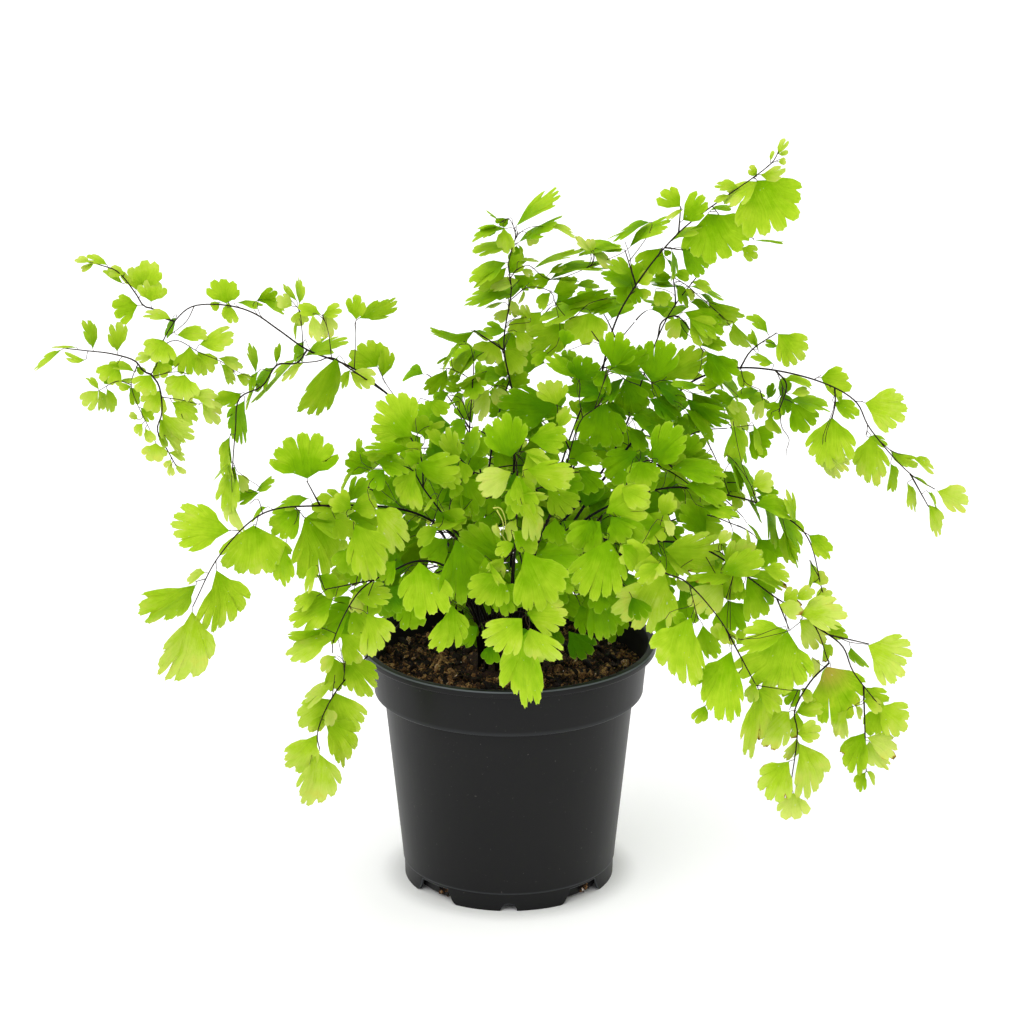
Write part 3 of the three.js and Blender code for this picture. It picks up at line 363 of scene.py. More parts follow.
            (21, 32, 235, 20, 7, 7, 3), (17, 31, 239, 8, 6, -126, 5), (27, 33, 241, 9, 4, 3, 4),
            (0, 32, 236, 7, 5, -71, 8), (0, 31, 232, 7, 5, -141, 8), (-2, 30, 235, 7, 2, -160, 8),
            (9, 31, 228, 6, 4, 125, 7), (7, 30, 229, 6, 2, 164, 7), (13, 34, 230, 10, 8, -120, 5),
            (6, 34, 228, 8, 7, -122, 6), (3, 30, 223, 9, 8, -56, 6), (-1, 38, 221, 9, 5, 180, 3),
            (-15, 31, 223, 8, 3, -24, 4), (-14, 26, 224, 17, 3, 180, 4), (-5, 31, 219, 10, 12, -123, 6),
            (-2, 34, 214, 11, 10, -44, 6), (-2, 35, 203, 10, 7, 178, 3), (-2, 35, 200, 10, 7, 15, 4),
            (-2, 36, 202, 6, 5, -110, 4), (-8, 25, 200, 12, 8, -115, 8), (-7, 31, 199, 8, 6, -48, 8),
            (32, 30, 234, 18, 8, -165, 4), (25, 31, 226, 19, 15, -149, 5), (16, 29, 214, 8, 6, -153, 4),
            (33, 29, 231, 11, 17, -94, 5), (50, 35, 234, 17, 7, -167, 3), (0, 1, 138, 10, 10, 113, 1),
        ],
    ),
    dict(
        name="upper_left",
        stems=[
            [(-7, 4, 93), (-16, 16, 168), (-14, 16, 214)],
            [(-16, 16, 186), (-21, 16, 195)],
        ],
        twigs=[
            [(-15, 16, 189), (-20, 16, 199), (-24, 16, 200)],
            [(-14, 16, 206), (-19, 16, 209), (-24, 16, 211), (-28, 16, 211)],
            [(-14, 16, 214), (-16, 16, 221), (-20, 16, 221)],
        ],
        leaves=[
            (-10, 19, 217, 14, 6, -143, 4), (-9, 19, 209, 12, 5, -145, 4),
            (-18, 18, 222, 14, 2, -129, 5), (-24, 18, 216, 6, 1, -143, 5),
            (-14, 20, 217, 12, 6, -141, 5), (-19, 19, 208, 6, 3, -155, 4),
            (-25, 19, 210, 12, 6, -130, 4), (-19, 22, 200, 7, 4, 149, 3), (-15, 18, 205, 6, 10, -61, 4),
            (-18, 22, 199, 6, 5, -139, 4), (-21, 21, 196, 8, 2, -150, 5), (-24, 20, 200, 8, 5, -150, 3),
            (-10, 17, 202, 6, 4, -139, 8), (-14, 17, 209, 4, 2, -54, 8), (-15, -10, 176, 8, 8, 62, 2),
            (-8, 3, 143, 7, 9, 133, 1), (-17, -19, 200, 9, 7, -130, 3), (-9, -9, 176, 11, 9, -128, 2),
            (-8, -11, 164, 10, 9, -137, 2), (-22, 0, 161, 8, 7, -40, 1), (-3, -12, 165, 8, 7, -138, 2),
            (-15, -15, 190, 8, 7, -33, 3),
        ],
    ),
    dict(
        name="right_high",
        stems=[
            [(3, 2, 93), (13, 11, 140), (23, 14, 165), (34, 14, 194), (41, 14, 226), (47, 14, 240),
             (67, 14, 267), (104, 14, 296), (106, 14, 300)],
            [(67, 14, 267), (68, 14, 278)],
            [(62, 14, 261), (69, 11, 261)],
            [(39, 14, 218), (33, 11, 228)],
            [(50, 14, 246), (46, 11, 261)],
        ],
        twigs=[
            [(50, 14, 246), (49, 14, 252), (48, 14, 258), (46, 14, 264)],
            [(47, 12, 256), (52, 12, 262), (56, 12, 268)],
            [(101, 14, 293), (103, 14, 295), (107, 14, 297)],
            [(80, 14, 278), (89, 22, 267), (98, 22, 263)],
            [(91, 22, 266), (93, 22, 260)],
        ],
        leaves=[
            (65, 19, 259, 12, 3, -89, 3), (49, 18, 250, 9, 6, 153, 4), (49, 18, 246, 8, 6, -71, 3),
            (106, 14, 299, 6, 3, 60, 7), (106, 14, 299, 4, 2, 13, 7), (103, 15, 296, 4, 2, 70, 7),
            (106, 13, 296, 3, 3, 7, 7), (98, 17, 290, 4, 4, 140, 6), (99, 13, 291, 9, 5, 8, 7),
            (98, 16, 288, 20, 28, -59, 5), (98, 14, 288, 15, 8, -141, 6), (91, 15, 285, 9, 6, 170, 5),
            (87, 12, 283, 6, 3, -156, 7), (80, 20, 275, 8, 3, 12, 4), (68, 18, 277, 9, 9, 137, 5),
            (69, 16, 272, 12, 9, 38, 4), (69, 13, 277, 7, 3, -151, 7), (65, 19, 263, 12, 4, 26, 5),
            (79, 19, 274, 18, 27, -65, 4), (93, 24, 259, 7, 7, -30, 6), (98, 24, 262, 12, 2, -6, 4),
            (69, 17, 260, 13, 11, -48, 3), (61, 19, 260, 13, 11, -128, 4), (62, 20, 259, 3, 3, -45, 3),
            (63, 22, 255, 8, 2, -62, 2), (51, 21, 244, 13, 9, 155, 3), (51, 24, 243, 9, 10, -153, 2),
            (51, 14, 247, 6, 6, 25, 6), (52, 16, 244, 5, 4, -39, 6), (50, 19, 245, 9, 7, 76, 3),
            (56, 17, 271, 16, 5, -156, 3), (48, 16, 261, 18, 6, 34, 4), (22, 3, 224, 6, 6, 72, 2),
            (46, 3, 211, 14, 6, -131, 1), (5, -1, 123, 9, 10, 122, 1), (37, 7, 201, 9, 7, -152, 0),
            (46, 4, 210, 15, 14, -65, 1),
        ],
    ),
    dict(
        name="right_mid_high",
        stems=[
            [(6, 7, 93), (17, 3, 143), (33, 11, 162), (45, 20, 180), (64, 34, 227), (80, 34, 250)],
            [(67, 34, 234), (67, 30, 240), (66, 30, 246)],
            [(61, 32, 220), (62, 30, 227), (68, 27, 230), (79, 27, 215)],
        ],
        twigs=[
            [(73, 34, 240), (69, 34, 243), (65, 34, 245)],
            [(68, 27, 230), (71, 27, 224), (75, 27, 220)],
            [(73, 34, 240), (79, 34, 235), (84, 34, 233)],
            [(79, 34, 235), (89, 34, 226)],
            [(45, 20, 180), (52, 20, 176)],
            [(47, 21, 184), (50, 21, 188)],
            [(54, 26, 201), (47, 26, 204), (42, 26, 209)],
            [(55, 28, 206), (58, 28, 202), (63, 28, 203), (73, 28, 198), (79, 28, 196)],
        ],
        leaves=[
            (68, 36, 240, 10, 3, 175, 3), (66, 39, 243, 6, 4, 168, 4), (67, 35, 245, 6, 5, -4, 4),
            (74, 36, 242, 8, 5, -23, 6), (74, 41, 239, 13, 4, -24, 3), (71, 33, 240, 6, 3, -53, 6),
            (67, 37, 241, 10, 5, -59, 3), (66, 36, 241, 9, 3, 169, 3), (59, 29, 240, 7, 7, -56, 6),
            (66, 37, 231, 12, 3, 166, 4), (73, 38, 231, 10, 4, -161, 3), (74, 38, 233, 8, 5, -23, 3),
            (81, 35, 235, 15, 9, -34, 5), (81, 37, 230, 10, 3, -35, 5), (71, 30, 231, 17, 12, -28, 4),
            (73, 27, 229, 12, 11, -40, 6), (69, 25, 230, 9, 7, -117, 7), (69, 34, 227, 8, 6, -71, 3),
            (91, 33, 226, 13, 6, -57, 6), (102, 40, 213, 8, 3, 117, 3), (78, 40, 236, 9, 3, -42, 3),
            (78, 30, 217, 9, 6, 3, 4), (80, 32, 214, 22, 4, -56, 3), (86, 31, 201, 8, 7, -165, 4),
            (64, 29, 204, 18, 12, 33, 5), (48, 5, 203, 9, 10, -49, 1),
        ],
    ),
    dict(
        name="right_arch",
        stems=[
            [(9, 4, 93), (21, -1, 142), (41, 5, 172), (61, 11, 195), (75, 14, 207), (93, 14, 212),
             (122, 7, 209), (138, 0, 202), (144, 0, 191), (160, -7, 174), (171, -7, 167)],
            [(93, 14, 212), (97, 14, 219), (108, 14, 227)],
            [(129, 3, 205), (130, 0, 201), (129, 0, 195)],
            [(107, 11, 210), (111, 8, 207), (108, 5, 196)],
            [(160, -7, 174), (168, -7, 160)],
        ],
        twigs=[
            [(107, 11, 210), (110, 11, 204), (109, 11, 199), (109, 11, 194)],
            [(122, 7, 209), (125, 7, 211)],
            [(138, 0, 202), (141, 0, 202)],
            [(143, 0, 192), (143, 0, 188)],
            [(148, -2, 186), (153, -2, 182), (162, -2, 179)],
            [(93, 14, 212), (95, 14, 206), (101, 14, 203)],
            [(101, 14, 203), (103, 14, 195)],
            [(109, 11, 194), (110, 11, 188), (113, 11, 183), (112, 11, 178), (112, 11, 176)],
            [(85, 14, 210), (86, 14, 198)],
            [(86, 14, 198), (89, 14, 188), (99, 14, 188)],
        ],
        leaves=[
            (95, 20, 199, 11, 6, -24, 4), (105, 25, 196, 6, 4, 69, 1), (110, 25, 197, 8, 4, 63, 1),
            (112, 19, 200, 5, 3, -106, 0), (108, 18, 225, 14, 14, -52, 5), (108, 20, 219, 5, 3, 161, 3),
            (104, 18, 225, 10, 5, 140, 4), (100, 18, 219, 7, 2, 111, 4), (106, 13, 214, 9, 4, 167, 4),
            (110, 10, 208, 11, 5, -11, 5), (125, 10, 209, 11, 11, -10, 5), (129, 8, 205, 7, 3, -52, 4),
            (130, 5, 200, 10, 8, -30, 4), (129, 1, 195, 18, 19, -94, 5), (127, -1, 182, 12, 6, -70, 8),
            (128, -1, 180, 9, 6, -29, 8), (142, 1, 201, 15, 16, -18, 6), (145, 2, 187, 18, 12, -86, 6),
            (144, 4, 186, 8, 4, -22, 4), (153, 0, 176, 11, 7, -81, 5), (153, 1, 181, 12, 5, -30, 5),
            (162, 1, 178, 10, 5, -31, 6), (161, -4, 172, 8, 1, -31, 4), (159, -7, 170, 11, 5, -75, 7),
            (168, -2, 165, 8, 2, -60, 5), (168, -7, 161, 12, 7, -68, 7), (171, -8, 167, 13, 10, -30, 7),
            (113, 12, 199, 15, 7, -11, 4), (114, 12, 198, 13, 12, -53, 4), (113, 7, 203, 7, 4, 7, 6),
            (111, 24, 199, 9, 7, -78, 1), (110, 15, 197, 7, 7, -136, 4), (105, 6, 195, 9, 4, -69, 5),
            (103, 13, 199, 8, 5, -117, 8), (86, 16, 197, 16, 10, -54, 6), (92, 17, 210, 8, 7, -49, 5),
            (101, 19, 201, 9, 5, -166, 3), (87, 24, 209, 6, 5, 17, 2), (99, 19, 187, 12, 4, -75, 5),
            (90, 20, 186, 16, 9, -71, 3), (86, 15, 198, 8, 6, -33, 7), (49, -1, 197, 10, 6, -41, 2),
            (56, 1, 210, 16, 5, 162, 2), (76, -2, 209, 11, 4, 176, 3), (79, 1, 222, 15, 11, -52, 2),
            (90, 2, 203, 9, 7, 180, 2), (71, 0, 203, 19, 8, -34, 2), (65, 0, 195, 11, 9, -49, 2),
            (21, 3, 122, 8, 10, -125, 1), (11, -2, 115, 7, 9, 56, 1), (21, 1, 118, 11, 11, -27, 1),
            (57, 3, 209, 17, 15, 80, 2), (58, 4, 208, 15, 10, -36, 1), (73, 2, 205, 14, 7, -33, 2),
            (56, 3, 202, 14, 9, -33, 1), (70, -3, 200, 17, 6, -49, 3), (71, 0, 197, 8, 6, -54, 2),
            (49, -1, 195, 15, 9, -13, 2), (48, -1, 190, 10, 7, -47, 2), (31, -1, 158, 12, 11, 81, 1),
        ],
    ),
    dict(
        name="right_low",
        stems=[
            [(13, -9, 93), (20, -24, 141), (36, -32, 154), (56, -38, 156), (75, -40, 154),
             (104, -51, 137), (118, -59, 129), (124, -65, 115)],
            [(118, -59, 129), (129, -65, 122), (133, -68, 113), (143, -70, 100)],
            [(138, -70, 108), (139, -73, 73)],
            [(124, -62, 126), (139, -68, 124)],
            [(124, -65, 115), (116, -73, 110), (110, -78, 100), (111, -81, 93), (109, -81, 70)],
            [(104, -51, 137), (108, -68, 130)],
        ],
        twigs=[
            [(86, -44, 148), (83, -44, 153), (80, -44, 154)],
            [(107, -52, 136), (109, -52, 124)],
            [(113, -56, 132), (114, -56, 130), (109, -56, 125)],
            [(127, -63, 126), (132, -63, 123), (139, -63, 122)],
            [(88, -45, 146), (85, -45, 134)],
            [(75, -40, 154), (84, -40, 138)],
        ],
        scorch=0.76,
        leaves=[
            (84, -46, 118, 7, 7, 134, 6), (90, -41, 114, 6, 5, 61, 5), (92, -45, 141, 7, 5, -110, 4),
            (111, -76, 99, 10, 8, -104, 6), (112, -53, 137, 7, 6, 27, 6), (93, -45, 144, 14, 5, -14, 5),
            (91, -44, 145, 8, 5, -108, 4), (83, -42, 156, 9, 3, -76, 5), (137, -71, 102, 8, 5, -30, 6),
            (99, -48, 148, 10, 6, -24, 6), (85, -46, 145, 16, 12, 49, 6), (93, -42, 152, 9, 3, 94, 6),
            (81, -36, 152, 9, 4, -74, 3), (86, -42, 151, 6, 2, -111, 5), (82, -45, 157, 6, 5, 55, 7),
            (61, -39, 153, 21, 14, 3, 6), (61, -36, 149, 12, 6, -34, 6), (55, -35, 149, 10, 9, -78, 6),
            (61, -45, 145, 25, 23, -112, 6), (66, -39, 141, 7, 4, -51, 8),
            (89, -40, 142, 17, 10, 177, 5), (84, -41, 139, 14, 13, -130, 7),
            (83, -41, 134, 7, 7, 25, 5), (86, -40, 132, 12, 15, -68, 3), (93, -44, 143, 17, 13, -60, 4),
            (98, -42, 139, 9, 6, -46, 3), (107, -52, 136, 6, 6, 39, 6), (105, -56, 136, 9, 7, -23, 8),
            (113, -57, 132, 16, 13, 6, 7), (113, -57, 130, 13, 12, -41, 8),
            (124, -59, 129, 8, 5, -38, 4), (139, -64, 122, 16, 18, -26, 7),
            (133, -58, 119, 10, 4, -57, 4), (123, -66, 114, 20, 22, -65, 11),
            (125, -61, 112, 13, 4, -100, 5), (131, -71, 98, 12, 7, -101, 8),
            (134, -72, 100, 5, 3, -58, 8), (138, -65, 105, 10, 8, -40, 5),
            (143, -70, 99, 14, 14, -40, 6), (144, -66, 97, 11, 8, -100, 5),
            (138, -70, 88, 16, 10, -108, 5), (139, -72, 87, 12, 8, -30, 8),
            (140, -71, 85, 13, 9, -67, 8), (139, -71, 72, 8, 4, -109, 5), (139, -75, 74, 6, 3, -57, 7),
            (108, -78, 100, 16, 15, -133, 7), (113, -70, 106, 8, 7, -136, 3),
            (113, -72, 107, 6, 5, -46, 6), (117, -67, 118, 8, 5, -80, 9), (122, -59, 121, 8, 5, -75, 5),
            (111, -74, 98, 10, 6, 10, 5), (111, -81, 92, 8, 8, 3, 6), (111, -80, 90, 9, 5, -115, 8),
            (112, -81, 88, 20, 13, -78, 7), (108, -82, 81, 15, 13, -117, 7),
            (110, -82, 68, 10, 13, -93, 8), (78, -24, 155, 14, 11, 132, 3), (60, -43, 168, 9, 7, 70, 5),
            (60, -42, 163, 16, 12, 180, 4), (83, -51, 147, 16, 10, 33, 5),
            (20, -20, 127, 10, 10, -43, 2), (48, -39, 136, 10, 9, -19, 3),
            (46, -16, 136, 11, 10, -83, 2), (33, -36, 135, 21, 19, -60, 3),
        ],
    ),
    dict(
        name="right_front",
        stems=[
            [(9, -12, 93), (20, -54, 147), (39, -65, 159), (55, -73, 160), (59, -76, 156),
             (67, -81, 154), (82, -89, 138), (84, -89, 132)],
            [(82, -89, 138), (94, -89, 115)],
        ],
        twigs=[
            [(94, -89, 115), (107, -89, 113), (111, -89, 113)],
            [(110, -89, 113), (107, -89, 105)],
            [(68, -82, 153), (72, -82, 139)],
        ],
        leaves=[
            (69, -88, 142, 25, 20, -97, 5), (74, -80, 136, 13, 8, -71, 5), (60, -75, 137, 9, 5, -99, 3),
            (67, -77, 134, 6, 5, 126, 3), (81, -86, 138, 8, 6, -61, 6), (84, -95, 131, 24, 16, -98, 5),
            (75, -87, 106, 7, 6, -113, 5), (106, -84, 135, 25, 29, -107, 5),
            (106, -86, 136, 18, 9, -161, 5), (94, -87, 115, 7, 5, -110, 7),
            (95, -88, 113, 25, 15, -89, 6), (95, -88, 113, 12, 8, -41, 6),
            (54, -76, 163, 11, 11, 180, 5), (57, -80, 161, 10, 8, -140, 5),
            (18, -60, 151, 10, 12, -53, 3), (59, -65, 173, 7, 5, -55, 9),
            (43, -76, 167, 13, 11, -46, 5), (54, -79, 164, 9, 11, -99, 7),
        ],
    ),
    dict(
        name="right_side",
        stems=[
            [(13, -5, 93), (24, -14, 150), (44, -24, 168), (62, -20, 172), (72, -20, 172),
             (87, -20, 169), (98, -24, 167), (116, -34, 158), (124, -34, 133)],
            [(72, -20, 172), (82, -16, 173), (92, -16, 173)],
            [(44, -24, 168), (52, -16, 181), (62, -14, 181), (66, -14, 177)],
        ],
        twigs=[
            [(98, -24, 167), (95, -24, 175), (89, -24, 184)],
            [(87, -20, 169), (84, -20, 179)],
            [(116, -34, 158), (118, -34, 157)],
            [(122, -34, 140), (118, -34, 147)],
            [(63, -14, 180), (65, -14, 179)],
        ],
        leaves=[
            (86, -19, 185, 16, 6, -64, 3), (97, -20, 171, 9, 6, -5, 3), (55, -10, 182, 14, 14, 14, 4),
            (70, -6, 181, 9, 8, 57, 3), (65, -8, 177, 19, 11, -6, 4), (69, -15, 171, 16, 8, -15, 5),
            (77, -19, 164, 13, 6, -17, 5), (67, -14, 156, 9, 10, 49, 3), (72, -18, 159, 13, 8, -30, 4),
            (60, -28, 171, 9, 5, -84, 9), (63, -21, 171, 8, 6, -72, 6), (88, -18, 170, 8, 6, -56, 6),
            (85, -13, 177, 11, 7, -60, 3), (89, -16, 181, 18, 6, -59, 3), (96, -23, 174, 8, 9, 21, 7),
            (113, -29, 161, 13, 6, 112, 5), (98, -19, 168, 13, 7, -19, 3),
            (101, -19, 165, 17, 6, -72, 4), (106, -25, 162, 21, 10, -62, 3),
            (109, -26, 157, 13, 5, -74, 5), (95, -18, 166, 10, 2, -60, 3),
            (118, -31, 156, 11, 7, -47, 5), (120, -33, 137, 6, 6, 37, 6),
            (119, -30, 145, 13, 4, -90, 5), (121, -34, 130, 7, 6, 27, 7), (57, -19, 182, 17, 14, 47, 3),
            (70, -3, 180, 10, 10, 50, 3), (64, -24, 181, 19, 11, -7, 3), (69, -33, 177, 16, 9, -21, 4),
            (58, -25, 184, 14, 13, -129, 3), (96, -33, 169, 14, 9, -9, 3),
            (76, -36, 169, 12, 6, -12, 4), (89, -10, 195, 15, 10, -83, 4), (41, 3, 113, 7, 9, 35, 1),
            (33, 1, 113, 8, 10, 51, 1), (26, -16, 141, 12, 10, -119, 2),
            (36, -21, 130, 10, 10, -117, 2), (45, -17, 124, 10, 10, -32, 2),
            (51, -9, 184, 15, 14, -143, 2), (51, -33, 187, 10, 12, -70, 4),
            (51, -42, 168, 13, 13, -47, 4),
        ],
    ),
    dict(
        name="front_left",
        stems=[
            [(-5, -14, 93), (-18, -56, 149), (-26, -63, 152), (-32, -67, 149), (-37, -69, 144)],
        ],
        twigs=[
            [(-19, -57, 149), (-20, -57, 142), (-23, -57, 136)],
        ],
        leaves=[
            (-20, -70, 167, 24, 17, -87, 3), (-34, -73, 159, 20, 20, -81, 4),
            (-22, -76, 143, 18, 16, -94, 5),
        ],
    ),
    dict(
        name="front_mid",
        stems=[
            [(0, -15, 93), (3, -61, 161), (5, -69, 158), (8, -76, 136)],
            [(3, -61, 161), (-5, -69, 154)],
        ],
        leaves=[
            (10, -61, 157, 17, 12, 0, 3), (-5, -52, 144, 14, 11, -63, 3), (2, -69, 170, 10, 9, -46, 4),
            (-9, -73, 161, 12, 8, -68, 5), (-3, -57, 163, 6, 2, 109, 8), (2, -69, 165, 7, 5, -151, 5),
            (-2, -73, 161, 9, 8, -128, 6), (-3, -73, 155, 14, 17, -122, 5),
            (6, -78, 165, 22, 21, -69, 4), (4, -66, 168, 9, 7, -55, 4), (5, -89, 142, 16, 15, -135, 6),
            (8, -79, 134, 28, 17, -96, 5), (8, -89, 138, 16, 13, -56, 6), (7, -80, 141, 14, 13, -11, 5),
        ],
    ),
    dict(
        name="front_right",
        stems=[
            [(6, -13, 93), (12, -44, 150), (20, -52, 163), (27, -57, 169), (34, -61, 167),
             (38, -63, 162)],
        ],
        twigs=[
            [(34, -61, 167), (37, -61, 175), (46, -61, 178)],
            [(36, -62, 165), (43, -62, 162)],
        ],
        leaves=[
            (43, -65, 186, 11, 10, -27, 6), (32, -66, 174, 13, 13, -110, 3),
            (41, -66, 175, 13, 12, -56, 3), (18, -58, 172, 10, 9, -90, 3),
            (37, -65, 176, 16, 13, 34, 5), (39, -66, 175, 11, 10, -57, 3),
            (35, -66, 173, 13, 13, -131, 3), (38, -73, 168, 23, 20, -105, 4),
        ],
    ),
    dict(
        name="centre",
        stems=[
            [(0, -9, 93), (3, -49, 168), (3, -51, 191), (0, -46, 203)],
            [(4, -51, 177), (8, -57, 182), (14, -59, 185)],
        ],
        twigs=[
            [(3, -51, 189), (5, -51, 179), (6, -51, 176)],
            [(2, -49, 196), (6, -49, 191), (7, -49, 188)],
        ],
        tendrils=[
            [(-6, -56, 175.2), (-3.3, -56, 175.2), (-1.4, -56, 171.2), (-1, -56, 166.3),
             (-0.2, -56, 162.2)],
            [(-4.5, -57, 174.7), (-2.2, -57, 169.9), (-2.2, -57, 164.6)],
            [(-4.1, -58, 168.2), (-2.5, -58, 164.9), (-0.6, -58, 161.7)],
        ],
        leaves=[
            (-3, -28, 146, 18, 13, 139, 3), (5, -62, 189, 14, 12, -85, 4), (-4, -18, 122, 10, 9, 15, 2),
            (7, -55, 197, 12, 11, -64, 6), (15, -36, 186, 11, 10, -49, 5), (3, -62, 190, 11, 9, -70, 5),
            (-7, -28, 164, 12, 10, -102, 3), (1, -54, 195, 16, 16, 107, 3), (8, -27, 194, 14, 11, 0, 4),
            (6, -53, 197, 10, 7, -23, 6), (7, -63, 193, 17, 10, -7, 5), (1, -60, 191, 13, 11, -151, 8),
            (4, -55, 189, 9, 7, -85, 6), (4, -63, 183, 10, 5, -9, 6), (5, -66, 180, 14, 11, -62, 7),
            (4, -55, 178, 8, 5, -120, 4), (3, -57, 171, 8, 5, -110, 7), (15, -44, 179, 13, 12, -44, 5),
        ],
    ),
    dict(
        name="centre_left",
        stems=[
            [(-6, -6, 93), (-12, -15, 136), (-33, -40, 178), (-38, -40, 186), (-43, -40, 187),
             (-50, -43, 185), (-53, -43, 178)],
            [(-33, -40, 178), (-34, -38, 190), (-39, -35, 199)],
        ],
        leaves=[
            (-26, -38, 188, 11, 9, -57, 5), (-18, -23, 178, 16, 10, -73, 3),
            (-26, -36, 167, 9, 9, -32, 4), (-15, -28, 170, 8, 8, -155, 3),
            (-48, -28, 189, 8, 4, -171, 4), (-4, -2, 119, 8, 10, 122, 1), (-28, -37, 168, 9, 7, -52, 3),
            (-27, -43, 163, 10, 7, -138, 4), (-15, -20, 144, 12, 9, -58, 2),
            (-11, -20, 130, 10, 6, -63, 2), (-48, -47, 188, 8, 8, -128, 3),
            (-31, -12, 177, 9, 7, -48, 2), (-44, -40, 202, 8, 8, -46, 3), (-31, -17, 207, 8, 6, -40, 4),
            (-38, -40, 199, 16, 21, 129, 5), (-58, -31, 189, 6, 3, 86, 5),
            (-60, -38, 185, 9, 2, -123, 5), (-38, -46, 196, 17, 5, -179, 4),
            (-33, -42, 197, 7, 5, -150, 5), (-51, -47, 191, 12, 9, -17, 3),
            (-36, -45, 187, 15, 11, -105, 5), (-35, -42, 189, 6, 7, 133, 3),
            (-33, -22, 194, 8, 10, 100, 4), (-31, -32, 201, 6, 3, 8, 6), (-25, -24, 190, 9, 6, 135, 5),
            (-35, -43, 189, 15, 13, -9, 4), (-22, -35, 179, 6, 6, -68, 4),
            (-19, -32, 187, 8, 6, -73, 4), (-19, -32, 188, 12, 9, 111, 6),
            (-15, -23, 185, 12, 7, 76, 4), (-10, -12, 156, 6, 6, 13, 2),
            (-24, -29, 154, 12, 11, -138, 3), (-51, -63, 177, 18, 13, -54, 7),
            (-16, -37, 165, 13, 8, -173, 4), (-28, -51, 177, 6, 2, -137, 6),
        ],
    ),
    dict(
        name="centre_right",
        stems=[
            [(5, -4, 93), (11, -24, 148), (19, -16, 166), (29, -8, 197), (34, -8, 201)],
            [(24, -11, 185), (19, -7, 196)],
        ],
        twigs=[
            [(29, -8, 197), (28, -8, 205), (28, -8, 213)],
            [(34, -8, 201), (39, -8, 217)],
            [(34, -8, 201), (37, -8, 204)],
            [(20, -8, 193), (19, -8, 203)],
        ],
        leaves=[
            (12, -14, 157, 15, 12, -81, 2), (23, 1, 181, 5, 6, 112, 2), (26, -6, 180, 10, 6, -9, 3),
            (4, -16, 166, 7, 8, -58, 2), (1, -12, 156, 8, 8, 127, 2), (4, -13, 149, 18, 10, -25, 2),
            (14, -21, 136, 13, 10, -51, 2), (12, -23, 187, 9, 8, -44, 3), (20, -13, 173, 9, 10, -32, 2),
            (24, -2, 186, 10, 11, -38, 2), (28, -12, 177, 11, 10, -43, 2),
            (21, -16, 157, 10, 10, -41, 2), (28, 3, 210, 10, 14, 65, 1), (27, 1, 211, 13, 6, 142, 3),
            (19, -12, 204, 10, 12, 110, 6), (19, 5, 199, 22, 15, 179, 1), (20, -12, 194, 9, 5, 69, 6),
            (40, 3, 204, 15, 11, 171, 1), (38, 0, 202, 18, 19, -97, 2), (40, 3, 202, 10, 8, -60, 1),
            (39, 2, 214, 7, 8, -129, 2), (39, 1, 215, 10, 6, -96, 2), (41, 0, 216, 13, 14, 66, 3),
            (42, 0, 216, 13, 8, 21, 2), (16, -17, 149, 15, 16, -46, 2),
        ],
    ),
]


def filling(name, route, pinnae, reach, leaflet, tone=INNER_TONE_WITH_PAINTED_SHADE, face=INNER_FACE):
    """A frond that fills the middle or the back, by its stalk's route. Its side stalks alternate
    along the upper part of the stalk: pinnae of them, the lowest one reach long, with leaflets of
    the given width. Its tone goes from the first value to the second one along the stalk."""
    sizes = dict(pinnae=pinnae, reach=reach, leaflet=leaflet)
    return dict(name=name, stems=[route], tone=tone, face=face, **sizes)


